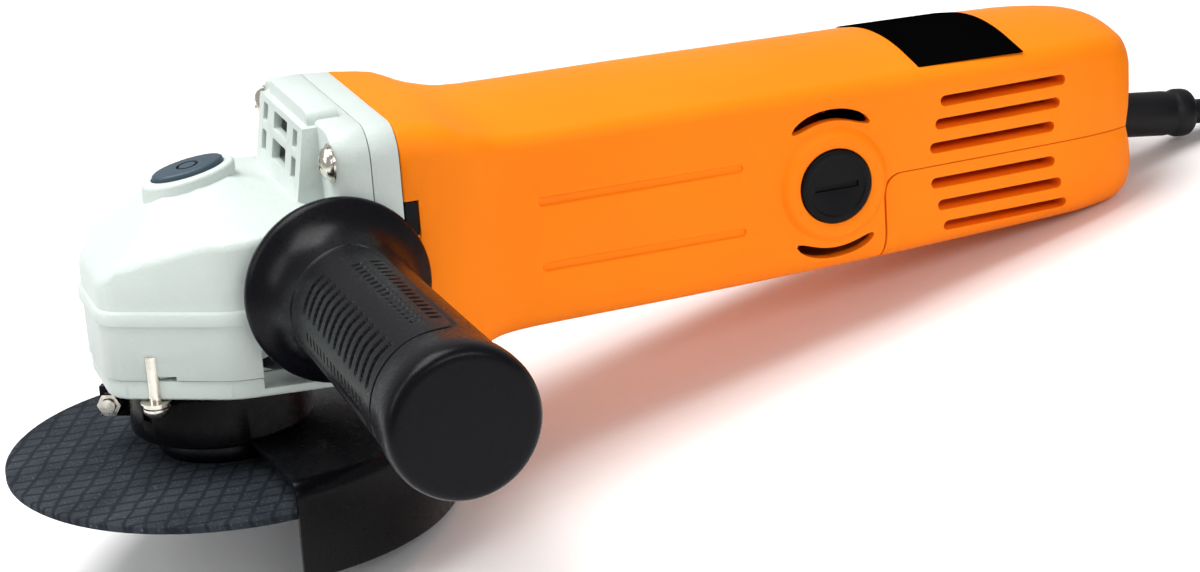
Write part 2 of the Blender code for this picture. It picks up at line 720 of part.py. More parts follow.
def build_guard():
    top = GUARD_TOP
    sheet = GUARD_SHEET
    radius = GUARD_RADIUS
    profile = [
        (BAND_INNER_RADIUS + 0.6, top), (radius - 2.5, top), (radius - 0.7, top - 0.7),
        (radius, top - 2.5), (radius, GUARD_BOTTOM), (radius - sheet, GUARD_BOTTOM),
        (radius - sheet, top - 2.8), (radius - 2.8, top - sheet),
        (BAND_INNER_RADIUS + 0.6, top - sheet),
    ]
    guard = add_object("wheel_guard", *swept(profile, *GUARD_SWEEP, 24), "black_paint")
    band = tube("Z", BAND_INNER_RADIUS, BAND_OUTER_RADIUS, top - sheet, BAND_TOP, sides=32)
    combine(guard, add_object("band_form", *band), "UNION")
    turn = radians(LUG_TURN)
    for index, offset in enumerate((-3.4, 3.4), 1):
        lug = [
            lug_point(turn, reach, offset + side)
            for reach, side in ((23.0, -1.2), (31.5, -1.2), (31.5, 1.2), (23.0, 1.2))
        ]
        form = add_object(f"lug_form_{index}", *prism("Z", lug, top + 0.4, -34.6))
        combine(guard, form, "UNION")
    key_hole = prism("Z", [
        lug_point(radians(206.0), reach, side)
        for reach, side in ((20.0, -1.8), (26.0, -1.8), (26.0, 1.8), (20.0, 1.8))
    ], -38.5, -35.0)
    combine(guard, add_object("key_hole", *key_hole))
    slit = prism("Z", [
        lug_point(turn, reach, side)
        for reach, side in ((20.0, -1.2), (26.0, -1.2), (26.0, 1.2), (20.0, 1.2))
    ], top - 3.0, BAND_TOP + 1.0)
    combine(guard, add_object("band_slit", *slit))
    build_clamp_screw(guard, turn)


def lug_point(turn, reach, side):
    """A plan point at a reach along a direction and a distance to its side."""
    return (
        reach * cos(turn) - side * sin(turn),
        reach * sin(turn) + side * cos(turn),
    )


def along_side(turn, reach, low, high, radius, z, sides=12, bore=None):
    """A round bar, or a tube, that crosses the guard's lugs."""
    loops = []
    ends = [(radius, low), (radius, high)]
    if bore:
        ends += [(bore, high), (bore, low)]
    for width, side in ends:
        loop = []
        for step in range(sides):
            angle = 2 * pi * step / sides
            x, y = lug_point(turn, reach + width * cos(angle), side)
            loop.append((x, y, z + width * sin(angle)))
        loops.append(loop)
    return skin(loops, ring=bool(bore))


def build_clamp_screw(guard, turn):
    z = -38.8
    reach = 28.2
    combine(guard, add_object("clamp_hole", *along_side(turn, reach, -8.0, 8.0, 2.3, z)))
    head = along_side(turn, reach, -8.2, -4.9, 3.2, z)
    bolt = add_object("guard_clamp_screw", *along_side(turn, reach, -6.0, 8.4, 1.9, z), "steel")
    combine(bolt, add_object("clamp_head_form", *head), "UNION")
    nut = along_side(turn, reach, 4.9, 7.6, 3.3, z, 6, 1.9 + GAP)
    add_object("guard_clamp_nut", *nut, "steel")


# The motor.


def build_armature():
    shaft = [
        (0.0, SHAFT_ENDS[0]), (1.9, SHAFT_ENDS[0]), (1.9, 20.9), (SHAFT_RADIUS, 21.2),
        (SHAFT_RADIUS, 176.0), (3.4, 176.4), (3.4, SHAFT_ENDS[1]), (0.0, SHAFT_ENDS[1]),
    ]
    add_object("armature_shaft", *turned("X", shaft, 24), "steel")
    bore = SHAFT_RADIUS + GAP
    add_object("front_bearing", *tube("X", bore, 11.0, 25.0, 32.0), "bright_steel")
    add_object("armature_core", *tube("X", bore, CORE_RADIUS, *CORE_ENDS), "lamination")
    front, rear = CORE_ENDS
    for name, near, far in (
        ("armature_winding_front", front - GAP, front - 11.0),
        ("armature_winding_rear", rear + GAP, rear + 11.0),
    ):
        winding = turned("X", [
            (bore, near), (13.4, near), (13.0, near + (far - near) * 0.5), (8.5, far), (bore, far),
        ])
        add_object(name, *winding, "copper")
    commutator = tube("X", bore, COMMUTATOR_RADIUS, *COMMUTATOR_ENDS)
    add_object("commutator", *commutator, "copper")
    rear_bearing = tube("X", 3.4 + GAP, 9.5, 180.0, 186.0)
    add_object("rear_bearing", *rear_bearing, "bright_steel")
    build_fan(bore)


def build_fan(bore):
    start, end = FAN_ENDS
    profile = [
        (bore, start), (8.0, start), (8.0, end - 2.0), (FAN_RADIUS, end - 2.0),
        (FAN_RADIUS, end), (bore, end),
    ]
    fan = add_object("cooling_fan", *turned("X", profile, 28), "black_plastic")
    blades = []
    for step in range(FAN_BLADES):
        turn = 2 * pi * step / FAN_BLADES
        plan = [lug_point(turn, reach, side) for reach, side in (
            (9.5, -0.8), (FAN_RADIUS - 0.8, 2.2), (FAN_RADIUS - 0.8, 3.8), (9.5, 0.8))]
        blades.append(prism("X", plan, start + 1.0, end - 1.0))
    combine(fan, add_object("blade_forms", *together(*blades)), "UNION")


def build_stator():
    wall = STATOR_WALL
    width = STATOR_HALF_WIDTH
    height = STATOR_HALF_HEIGHT
    outer = rounded_box(width, height, -height, 8.0)
    inner = rounded_box(width - wall, height - wall, wall - height, 6.0)
    start, end = CORE_ENDS[0] - 1.0, CORE_ENDS[1] + 1.0
    loops = [across_x(outer, start), across_x(outer, end), across_x(inner, end)]
    loops.append(across_x(inner, start))
    core = add_object("stator_core", *skin(loops, ring=True), "lamination")
    for name, side in (("upper", 1), ("lower", -1)):
        pole = pole_outline(side, height - wall + 1.0)
        combine(core, add_object(f"pole_form_{name}", *prism("X", pole, start, end)), "UNION")
        low, high = sorted((side * 17.5, side * 19.6))
        plan = [
            ((start - 9.0, end + 9.0), (-16.5, 16.5)),
            ((start - 2.0, end + 2.0), (-9.6, 9.6)),
        ]
        rims = [filleted(oblong(x, y, radius), 3) for (x, y), radius in zip(plan, (6.0, 2.0))]
        loops = [[(x, y, z) for x, y in rims[rim]] for rim, z in (
            (0, low), (0, high), (1, high), (1, low))]
        add_object(f"field_coil_{name}", *skin(loops, ring=True), "copper")


def oblong(x, y, radius):
    return [(x[0], y[0], radius), (x[1], y[0], radius), (x[1], y[1], radius), (x[0], y[1], radius)]


def pole_outline(side, top):
    """A pole's neck and shoe, whose face is an arc round the armature."""
    inner = CORE_RADIUS + 0.7
    outer = inner + 1.8
    spread = radians(52.0)
    steps = 10
    face = [pi / 2 - spread + 2 * spread * step / steps for step in range(steps + 1)]
    back = [angle for angle in reversed(face) if abs(angle - pi / 2) > radians(32.0)]
    outline = [(inner * cos(angle), inner * sin(angle)) for angle in face]
    left = [(outer * cos(a), outer * sin(a)) for a in back if a > pi / 2]
    right = [(outer * cos(a), outer * sin(a)) for a in back if a < pi / 2]
    neck = [(-9.0, outer * sin(radians(58.0))), (-9.0, top), (9.0, top),
            (9.0, outer * sin(radians(58.0)))]
    return [(y, side * z) for y, z in outline + left + neck + right]


def build_bearing_holder():
    cup = tube("X", 9.5 + GAP, 12.0, 178.5, 188.5, sides=20)
    holder = add_object("rear_bearing_holder", *cup, "black_plastic")
    bars = [
        block((179.5, 184.0), (-27.4, -11.0), (-4.0, 4.0)),
        block((179.5, 184.0), (11.0, 26.4), (-4.0, 4.0)),
        block((179.5, 184.0), (-5.0, 5.0), (11.0, 27.4)),
    ]
    combine(holder, add_object("holder_bars", *together(*bars)), "UNION")


def build_brushes():
    for name, side in (("left", -1), ("right", 1)):
        def span(near, far, way=side):
            return tuple(sorted((way * near, way * far)))

        outer = [(BRUSH_X - 4.9, -4.2), (BRUSH_X + 4.9, -4.2), (BRUSH_X + 4.9, 4.2),
                 (BRUSH_X - 4.9, 4.2)]
        inner = [(BRUSH_X + (x - BRUSH_X) * 0.8, z * 0.77) for x, z in outer]
        near, far = span(12.0, 29.6)
        loops = [[(x, y, z) for x, z in rim] for rim, y in (
            (outer, near), (outer, far), (inner, far), (inner, near))]
        add_object(f"brush_holder_{name}", *skin(loops, ring=True), "brass")
        brush = block((BRUSH_X - 3.6, BRUSH_X + 3.6), span(COMMUTATOR_RADIUS + 0.3, 22.0),
                      (-2.9, 2.9))
        add_object(f"carbon_brush_{name}", *brush, "carbon")
        low, high = span(22.6, 29.4)
        helix(f"brush_spring_{name}", "Y", 2.2, 0.3, low, high, 4.0, (BRUSH_X, 0.0, 0.0),
              "bright_steel")
        profile = [(0.0, side * 30.2), (BRUSH_CAP_RADIUS, side * 30.2),
                   (BRUSH_CAP_RADIUS, side * 33.0), (BRUSH_CAP_RADIUS - 0.6, side * 33.6),
                   (0.0, side * 33.6)]
        cap = add_object(f"brush_cap_{name}",
                         *turned("Y", profile, 24, (BRUSH_X, 0.0, 0.0)), "black_plastic")
        slot = block((BRUSH_X - 7.0, BRUSH_X + 7.0), span(32.4, 36.0), (-0.8, 0.8))
        combine(cap, add_object(f"cap_slot_{name}", *slot))


# The motor housing and the rear cover.


def body_shell():
    """The housing as one cup: its outside back to the tail, its inside forward again."""
    loops = [
        across_x(crowned_box(width, top, bottom, corner, rise), x)
        for x, width, top, bottom, corner, rise in BODY_STATIONS
    ]
    inside = []
    for x, width, top, bottom, corner, rise in BODY_STATIONS:
        if x > INNER_END:
            continue
        in_chamber = x <= FAN_CHAMBER_END
        half = min(width - WALL, FAN_CHAMBER_HALF_WIDTH)
        roof = min(top - WALL, FAN_CHAMBER_HALF_WIDTH)
        radius = 14.0 if in_chamber else corner - WALL
        rise = 0.1 if in_chamber else rise
        inside.append(across_x(crowned_box(half, roof, bottom + WALL, radius, rise), x))
    points, faces = skin(loops + inside[::-1], ring=True)
    count = len(loops[0])
    # The last outer loop and the last inner loop each get a cap instead of a bridge.
    bridge = (len(loops) - 1) * count
    faces = [face for face in faces if not (min(face) >= bridge and max(face) < bridge + 2 * count
                                            and min(face) < bridge + count <= max(face))]
    faces.append(tuple(range(bridge, bridge + count)))
    faces.append(tuple(range(bridge + count, bridge + 2 * count)))
    return points, faces


def arc_slot(middle, y):
    """A slot of even width along an arc round the brush cap."""
    steps = 5
    spread = radians(34.0)
    turns = [middle - spread + 2 * spread * step / steps for step in range(steps + 1)]
    inner = ARC_SLOT_RADIUS - ARC_SLOT_WIDTH / 2
    outer = ARC_SLOT_RADIUS + ARC_SLOT_WIDTH / 2
    outline = [(BRUSH_X + inner * cos(a), inner * sin(a)) for a in turns]
    outline += [(BRUSH_X + outer * cos(a), outer * sin(a)) for a in reversed(turns)]
    return prism("Y", outline, *y)


def side_slots(heights):
    slots = []
    for side in (-1, 1):
        for z in heights:
            low, high = sorted((side * 22.0, side * 36.0))
            span = (z - SLOT_WIDTH / 2, z + SLOT_WIDTH / 2)
            slots.append(block(SLOT_ENDS, (low, high), span))
    return slots


def gland_hole():
    return cylinder("X", 6.9, 248.0, 270.0, (0.0, 0.0, -3.8), 20)


def build_motor_housing():
    housing = add_object("motor_housing", *body_shell(), "orange_plastic", split_faces=True)
    for name, side in (("left", -1), ("right", 1)):
        ends = sorted((side * 28.9, side * BOSS_FACE_Y))
        ring = cylinder("Y", BOSS_RADIUS, *ends, (BRUSH_X, 0.0, 0.0), 24)
        combine(housing, add_object(f"brush_boss_{name}", *ring), "UNION")
    space = [(COVER_FRONT_X - GAP, -50.0), (280.0, -50.0), *UPPER_TAIL,
             (COVER_FRONT_X - GAP, GAP / 2)]
    combine(housing, add_object("cover_space", *prism("Y", space, -50.0, 50.0)))
    openings = [
        cylinder("Y", BRUSH_CAP_RADIUS + GAP, *sorted((side * 24.0, side * 40.0)),
                 (BRUSH_X, 0.0, 0.0), 24)
        for side in (-1, 1)
    ]
    openings += [
        arc_slot(middle, ends)
        for middle in (pi / 2, -pi / 2) for ends in ((-36.0, -24.0), (24.0, 36.0))
    ]
    openings += side_slots(SLOT_HEIGHTS)
    openings.append(block((KNOB_X[0] + 8.0 - SWITCH_TRAVEL, KNOB_X[1] - 8.0), (26.0, 36.0),
                          (ROD_Z[0] + 0.7, ROD_Z[1] - 0.7)))
    openings += [cylinder("X", 2.3, 40.0, CASE_SCREW_END + 0.8, (0.0, y, z), 8) for y, z in CASE_SCREWS]
    openings.append(gland_hole())
    combine(housing, add_object("housing_openings", *together(*openings)))


def build_rear_cover():
    cover = add_object("rear_cover", *body_shell(), "orange_plastic", split_faces=True)
    form = [(COVER_FRONT_X, -GAP / 2), (COVER_FRONT_X, -50.0), *LOWER_TAIL]
    combine(cover, add_object("cover_form", *prism("Y", form, -50.0, 50.0)), "INTERSECT")
    openings = [*side_slots([-z for z in SLOT_HEIGHTS]), gland_hole()]
    combine(cover, add_object("cover_openings", *together(*openings)))
    posts = add_object("post_forms", *together(*[
        cylinder("Z", 3.4, -23.4, -1.0, (x, 0.0, 0.0), 10) for x in COVER_SCREWS_X
    ]))
    combine(cover, posts, "UNION")
    holes = [cylinder("Z", 1.6, -40.0, 1.0, (x, 0.0, 0.0), 8) for x in COVER_SCREWS_X]
    sinks = [cylinder("Z", 3.2, -40.0, -21.0, (x, 0.0, 0.0), 8) for x in COVER_SCREWS_X]
    combine(cover, add_object("cover_holes", *together(*holes)))
    combine(cover, add_object("cover_sinks", *together(*sinks)))
    for index, x in enumerate(COVER_SCREWS_X, 1):
        screw(f"cover_screw_{index}", "Z", 1.0, -21.3, 19.0, 1.2, 2.6, (x, 0.0, 0.0))


# The switch.


def build_switch():
    add_object("switch_body", *block(*SWITCH_BODY), "black_plastic")
    rod = add_object("switch_rod", *block((92.0, 174.0), ROD_Y, ROD_Z), "black_plastic")
    plan = [(171.0, ROD_Y[1]), (171.0, 24.2), (196.4, 24.2), (196.4, 16.0), (199.4, 16.0),
            (199.4, 25.4), (173.4, 25.4), (173.4, ROD_Y[1] - 0.2)]
    tail = prism("Z", plan, ROD_Z[0] + 0.4, ROD_Z[1] - 0.4)
    combine(rod, add_object("rod_tail", *tail), "UNION")
    middle = sum(KNOB_X) / 2
    base = rounded_plate(KNOB_X, (7.5, 22.5), 4.0)
    knob = add_object("switch_knob", *prism("Y", base, 32.3, 35.2), "black_plastic")
    stem = block((middle - 5.0, middle + 5.0), (ROD_Y[1] + GAP, 33.0),
                 (ROD_Z[0] + 1.2, ROD_Z[1] - 1.2))
    combine(knob, add_object("stem_form", *stem), "UNION")
    ribs = [
        block((x - 0.9, x + 0.9), (34.0, 36.4), (10.0, 20.0))
        for x in (middle - 6.0, middle - 2.0, middle + 2.0, middle + 6.0)
    ]
    combine(knob, add_object("knob_ribs", *together(*ribs)), "UNION")


def rounded_plate(x, z, radius):
    return filleted(oblong(x, z, radius), 3)


# The side handle.


def build_side_handle():
    centre = (HANDLE_X, 0.0, HANDLE_Z)
    profile = [(4.0 + GAP, HANDLE_FACE_Y)]
    profile += [(radius, HANDLE_FACE_Y - along) for radius, along in HANDLE_PROFILE]
    end = HANDLE_FACE_Y - HANDLE_PROFILE[-1][1]
    profile += [(0.0, end)]
    blind = HANDLE_FACE_Y - 16.0
    profile = [(0.0, blind), (4.0 + GAP, blind)] + profile
    pivot = (HANDLE_X, HANDLE_FACE_Y, HANDLE_Z)
    add_object("side_handle", *turned("Y", profile, 32, centre), "rubber", pivot)
    stud = cylinder("Y", 4.0, HANDLE_FACE_Y - 15.6, -25.4, centre)
    add_object("handle_stud", *stud, "steel", pivot)


def build_top_label():
    """A thin plain plate that follows the housing's top."""
    stations = [station for station in BODY_STATIONS if 120.0 < station[0] < 240.0]
    loops = []
    for x in LABEL_STATIONS:
        low, high = [s for s in stations if s[0] <= x][-1], [s for s in stations if s[0] >= x][0]
        share = 0.0 if low is high else (x - low[0]) / (high[0] - low[0])
        _, half, top, _, _, rise = [a + share * (b - a) for a, b in zip(low, high)]
        knee, crown = crown_arc(half, rise)
        under = []
        for y in LABEL_ACROSS:
            drop = rise * (abs(y) - knee) / (half - knee)
            if abs(y) < 2 * knee:
                drop = crown - sqrt(crown * crown - y * y)
            under.append((x, y, top - drop + GAP))
        loops.append(under + [(x, y, z + LABEL_THICKNESS) for x, y, z in reversed(under)])
    add_object("top_plate", *skin(loops), "black_plastic")


# The gland and the cord.


def bent_tube(name, path, radii, finish, sides=16):
    """A solid of circles along a path in the XZ plane of the tool."""
    loops = []
    for index, (x, z) in enumerate(path):
        before = path[max(index - 1, 0)]
        after = path[min(index + 1, len(path) - 1)]
        slope = atan2(after[1] - before[1], after[0] - before[0])
        loop = []
        for step in range(sides):
            angle = 2 * pi * step / sides
            up = radii[index] * sin(angle)
            loop.append((x - up * sin(slope), radii[index] * cos(angle), z + up * cos(slope)))
        loops.append(loop)
    return add_object(name, *skin(loops), finish)


def gland_point(distance):
    """The gland's centre line: level inside the body, drooping once outside."""
    x = GLAND_START[0] + distance
    past = max(x - GLAND_BEND_X + 3.0, 0.0)
    return (x, GLAND_START[1] - 0.6 - tan(radians(GLAND_DROOP)) * past)


def build_gland():
    reach = GLAND_END_X - GLAND_START[0]
    stops = [
        (0.0, 6.2), (8.0, 6.2), (12.0, 6.3), (reach - 9.0, 6.4), (reach - 7.5, 6.2),
        (reach - 5.5, 6.2), (reach - 5.0, 6.8), (reach - 0.8, 6.8), (reach, 6.2),
    ]
    path = [gland_point(distance) for distance, _ in stops]
    bent_tube("strain_relief", path, [radius for _, radius in stops], "rubber")


def on_bench(point):
    """A point (x, z) of the tool's middle plane, in the object's own frame on the bench."""
    x, z = point
    return (
        REST_SHIFT[0] + x * cos(TILT) + z * sin(TILT),
        REST_SHIFT[1],
        REST_SHIFT[2] - x * sin(TILT) + z * cos(TILT),
    )


def smooth_path(stops, spacing):
    """Points a spacing apart along a Catmull-Rom curve through the stops."""
    stops = [Vector(stop) for stop in stops]
    padded = [2 * stops[0] - stops[1], *stops, 2 * stops[-1] - stops[-2]]
    dense = []
    for a, b, c, d in zip(padded, padded[1:], padded[2:], padded[3:]):
        for step in range(12):
            t = step / 12
            dense.append(0.5 * (2 * b + (c - a) * t + (2 * a - 5 * b + 4 * c - d) * t * t
                                + (3 * b - a - 3 * c + d) * t ** 3))
    dense.append(stops[-1])
    total = sum((q - p).length for p, q in zip(dense, dense[1:]))
    count = max(2, ceil(total / spacing))
    marks = [total * index / count for index in range(count + 1)]
    points = []
    walked = 0.0
    pairs = iter(zip(dense, dense[1:]))
    p, q = next(pairs)
    for mark in marks[:-1]:
        while walked + (q - p).length < mark:
            walked += (q - p).length
            p, q = next(pairs)
        points.append(p.lerp(q, (mark - walked) / (q - p).length))
    return points + [dense[-1]]


def build_cord():
    exit_point = Vector(on_bench(gland_point(GLAND_END_X - GLAND_START[0] + GAP)))
    radius = CORD_DIAMETER / 2
    outer_turn = COIL_MEAN_RADIUS + CORD_DIAMETER / 2
    solid_outer = outer_turn + radius
    coil_centre = coil_place()
    meet = sqrt((solid_outer + GAP) ** 2 - (outer_turn - radius) ** 2)
    far_y = coil_centre[1] + outer_turn
    rest = radius + 0.1
    stops = [
        exit_point,
        exit_point + Vector((4.0, 0.0, -1.3)),
        (exit_point.x + 9.0, exit_point.y - 0.1, exit_point.z - 2.4),
        (exit_point.x + 16.0, exit_point.y + 0.1, rest + 0.2),
        (exit_point.x + 24.0, exit_point.y + 0.6, rest),
        (coil_centre[0] - meet - 14.0, far_y + 0.2, rest),
        (coil_centre[0] - meet, far_y, rest),
    ]
    curve = bpy.data.curves.new("cord", "CURVE")
    curve.dimensions = "3D"
    curve.bevel_depth = radius * MM
    curve.bevel_resolution = 3
    curve.use_fill_caps = True
    path = curve.splines.new("POLY")
    points = smooth_path(stops, CORD_DIAMETER)
    path.points.add(len(points) - 1)
    for spot, point in zip(path.points, points):
        spot.co = (*(point * MM), 1.0)
    curve.materials.append(bpy.data.materials["rubber"])
    cord = bpy.data.objects.new("cord", curve)
    bpy.context.collection.objects.link(cord)


def coil_place():
    """The coil's centre on the bench, to the right of the cord's exit and in front of it."""
    exit_x, exit_y, _ = on_bench(gland_point(GLAND_END_X - GLAND_START[0]))
    return (exit_x + 62.0, exit_y - COIL_MEAN_RADIUS - CORD_DIAMETER / 2 + 1.0)


def build_coil():
    x, y = coil_place()
    reach = COIL_COLUMNS * CORD_DIAMETER / 2
    inner = COIL_MEAN_RADIUS - reach
    outer = COIL_MEAN_RADIUS + reach
    top = COIL_LIFT + COIL_LAYERS * CORD_DIAMETER
    soft = 2.4
    profile = [
        (inner, COIL_LIFT + soft), (inner + soft, COIL_LIFT), (outer - soft, COIL_LIFT),
        (outer, COIL_LIFT + soft), (outer, top - soft), (outer - soft, top),
        (inner + soft, top), (inner, top - soft),
    ]
    coil = turned("Z", profile, 30, (x, y, 0.0))
    add_object("cord_coil", *coil, "rubber", (x, y, 0.0), None)
    play = 0.3
    rims = []
    for grow in (play, play + TIE_THICKNESS):
        rims.append(filleted([
            (-outer - grow, COIL_LIFT - grow, 2.0), (0.6 - inner + grow, COIL_LIFT - grow, 2.0),
            (0.6 - inner + grow, top + grow, 2.0), (-outer - grow, top + grow, 2.0)], 2))
    loops = [[(x + side, y + q, z) for q, z in rim] for rim, side in (
        (rims[0], -TIE_WIDTH / 2), (rims[0], TIE_WIDTH / 2),
        (rims[1], TIE_WIDTH / 2), (rims[1], -TIE_WIDTH / 2))]
    add_object("cord_tie", *skin(loops, ring=True), "black_plastic", (x, y, 0.0), None)
    build_plug(x, y, top)


def build_plug(x, y, top):
    """A moulded plug with two round pins, lying on the coil."""
    z = top + 0.4 + 9.0
    centre = (0.0, y + COIL_MEAN_RADIUS - 4.0, z)
    profile = [
        (0.0, x - 26.0), (4.6, x - 26.0), (5.4, x - 12.0), (8.6, x - 6.0), (9.0, x),
        (9.0, x + 16.0), (8.2, x + 18.0), (0.0, x + 18.0),
    ]
    plug = add_object("plug", *turned("X", profile, 24, centre), "rubber", parent=None)
    pins = together(*[
        cylinder("X", 2.2, x + 16.0, x + 36.0, (0.0, centre[1] + offset, z), 12)
        for offset in (-4.6, 4.6)
    ])
    combine(plug, add_object("pin_forms", *pins, parent=None), "UNION")


def main():
    clear_scene()
    for name in FINISHES:
        make_finish(name)
    frame = make_frame("tool_frame", None, REST_SHIFT)
    frame.rotation_euler = (0.0, TILT, 0.0)
    build_gear_housing()
    build_middle_bracket()
    build_bearing_box()
    build_case_screws()
    build_gear_pair()
    build_spindle()
    build_spindle_lock()
    build_guard()
    build_armature()
    build_stator()
    build_bearing_holder()
    build_brushes()
    build_motor_housing()
    build_rear_cover()
    build_switch()
    build_side_handle()
    build_top_label()
    build_gland()
    build_cord()
    build_coil()


main()
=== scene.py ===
"""The angle grinder's visual model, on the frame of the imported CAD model.

Sizes are in millimetres in the tool's own frame: +X back along the body, +Z up the
spindle, -Y towards the side handle's end. placed() tilts a piece onto the bench.
"""

from math import atan2, cos, hypot, pi, radians, sin, sqrt, tan

import bmesh
import bpy
from mathutils import Matrix, Vector


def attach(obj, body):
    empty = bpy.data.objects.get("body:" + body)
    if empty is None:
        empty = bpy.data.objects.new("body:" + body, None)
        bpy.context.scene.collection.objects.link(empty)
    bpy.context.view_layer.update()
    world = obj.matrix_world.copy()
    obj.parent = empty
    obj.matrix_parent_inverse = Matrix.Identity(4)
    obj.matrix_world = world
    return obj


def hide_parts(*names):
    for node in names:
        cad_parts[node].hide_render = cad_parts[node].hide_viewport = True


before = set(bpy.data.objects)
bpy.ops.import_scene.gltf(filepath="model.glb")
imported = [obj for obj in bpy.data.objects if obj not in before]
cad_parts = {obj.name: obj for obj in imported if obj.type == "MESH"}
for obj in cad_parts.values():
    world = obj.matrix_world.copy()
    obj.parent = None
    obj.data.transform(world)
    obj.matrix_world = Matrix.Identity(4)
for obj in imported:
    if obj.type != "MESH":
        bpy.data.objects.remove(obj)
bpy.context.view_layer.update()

MM = 0.001
SIDES = 64
TILT = atan2(-21.6 + 68.6, 257.0 - 60.8)
REST_SHIFT = (-95.4, 42.7, 60.8 * sin(TILT) + 68.6 * cos(TILT))
TOOL = Matrix.Translation(Vector(REST_SHIFT) * MM) @ Matrix.Rotation(TILT, 4, "Y")
BENCH = Matrix.Identity(4)

# Sizes shared by several pieces, as in the CAD model.
CASE_HALF_WIDTH = 37.0
CASE_TOP = 36.0
CASE_BOTTOM = -29.6
FLANGE_FRONT_X = 27.5
SEAM_X = 36.5
BRACKET_END_X = 44.0
CASE_SCREWS = ((-33.4, 28.3), (33.4, 28.3), (-33.4, -22.0), (33.4, -22.0))
BOX_SCREW_AT = 20.5
HEAD_BOTTOM = -24.0
BOX_FLANGE_BOTTOM = -29.3
HANDLE_X = 24.8
HANDLE_Z = -2.6
HANDLE_FACE_Y = -37.6
BRUSH_X = 163.0
DISC_TOP = -51.3
CORD_RADIUS = 3.5


# Meshes.


def placed(name, points, faces, where=TOOL, smooth=40.0):
    """A mesh object from points in millimetres, facing out, moved into its place."""
    mesh = bpy.data.meshes.new(name)
    mesh.from_pydata([where @ (Vector(point) * MM) for point in points], [], faces)
    shape = bmesh.new()
    shape.from_mesh(mesh)
    bmesh.ops.recalc_face_normals(shape, faces=shape.faces)
    shape.to_mesh(mesh)
    shape.free()
    shade(mesh, smooth)
    piece = bpy.data.objects.new(name, mesh)
    bpy.context.collection.objects.link(piece)
    return piece


def shade(mesh, angle):
    mesh.shade_smooth()
    mesh.set_sharp_from_angle(angle=radians(angle))


def split(shape_mesh):
    """Triangulates a mesh, so that its warped faces cut cleanly."""
    shape = bmesh.new()
    shape.from_mesh(shape_mesh)
    bmesh.ops.triangulate(shape, faces=shape.faces)
    shape.to_mesh(shape_mesh)
    shape.free()


def settle(piece, smooth=40.0):
    """Makes a piece's modifiers part of its mesh."""
    bpy.context.view_layer.update()
    graph = bpy.context.evaluated_depsgraph_get()
    mesh = bpy.data.meshes.new_from_object(piece.evaluated_get(graph), depsgraph=graph)
    piece.modifiers.clear()
    piece.data = mesh
    shade(mesh, smooth)


def mend(piece):
    """Joins points that a cut left in the same place, so that the next cut is clean."""
    shape = bmesh.new()
    shape.from_mesh(piece.data)
    bmesh.ops.remove_doubles(shape, verts=shape.verts, dist=0.002 * MM)
    bmesh.ops.dissolve_degenerate(shape, edges=shape.edges, dist=0.002 * MM)
    shape.to_mesh(piece.data)
    shape.free()


def carve(piece, shapes, operation="DIFFERENCE", where=TOOL, smooth=40.0):
    """Cuts shapes, each a (points, faces) pair, from a piece, or joins them to it."""
    points, faces = together(*shapes)
    other = placed("cutter", points, faces, where)
    split(other.data)
    boolean = piece.modifiers.new("carve", "BOOLEAN")
    boolean.operation = operation
    boolean.solver = "EXACT"
    boolean.use_self = operation == "UNION" and len(shapes) > 1
    boolean.object = other
    settle(piece, smooth)
    bpy.data.objects.remove(other, do_unlink=True)
    mend(piece)


def soften(piece, width, angle=35.0, segments=2, smooth=40.0):
    """Rounds a piece's sharp edges."""
    bevel = piece.modifiers.new("soften", "BEVEL")
    bevel.width = width * MM
    bevel.segments = segments
    bevel.limit_method = "ANGLE"
    bevel.angle_limit = radians(angle)
    bevel.harden_normals = False
    settle(piece, smooth)


def skin(loops, ring=False, caps=True):
    """Faces over loops of equal length: capped at both ends, or joined last to first."""
    count = len(loops[0])
    points = [point for loop in loops for point in loop]
    spans = len(loops) if ring else len(loops) - 1
    faces = []
    for span in range(spans):
        a = span * count
        b = (span + 1) % len(loops) * count
        for i in range(count):
            j = (i + 1) % count
            faces.append((a + i, a + j, b + j, b + i))
    if caps and not ring:
        faces.append(tuple(range(count)))
        faces.append(tuple(range(len(points) - count, len(points))))
    return points, faces


def on_axis(axis, radius, angle, along, centre=(0.0, 0.0, 0.0)):
    across = (radius * cos(angle), radius * sin(angle))
    x, y, z = {
        "X": (along, across[0], across[1]),
        "Y": (across[0], along, across[1]),
        "Z": (across[0], across[1], along),
    }[axis]
    return (centre[0] + x, centre[1] + y, centre[2] + z)


def turned(axis, profile, sides=SIDES, centre=(0.0, 0.0, 0.0)):
    """A profile of (radius, height) turned round an axis, closed where it starts on it."""
    solid = profile[0][0] == 0.0
    rim = profile[1:-1] if solid else profile
    loops = []
    for radius, along in rim:
        turn = [2 * pi * step / sides for step in range(sides)]
        loops.append([on_axis(axis, radius, angle, along, centre) for angle in turn])
    points, faces = skin(loops, ring=not solid)
    if not solid:
        return points, faces
    faces = faces[:-2]
    first = len(points)
    points.append(on_axis(axis, 0.0, 0.0, profile[0][1], centre))
    points.append(on_axis(axis, 0.0, 0.0, profile[-1][1], centre))
    last_loop = (len(rim) - 1) * sides
    for i in range(sides):
        j = (i + 1) % sides
        faces.append((first, j, i))
        faces.append((first + 1, last_loop + i, last_loop + j))
    return points, faces


def swept(profile, start, end, steps):
    loops = []
    for step in range(steps + 1):
        angle = radians(start + (end - start) * step / steps)
        loops.append([on_axis("Z", radius, angle, z) for radius, z in profile])
    return skin(loops)


def prism(axis, outline, low, high):
    place = {
        "X": lambda p, q, along: (along, p, q),
        "Y": lambda p, q, along: (p, along, q),
        "Z": lambda p, q, along: (p, q, along),
    }[axis]
    return skin([[place(p, q, along) for p, q in outline] for along in (low, high)])


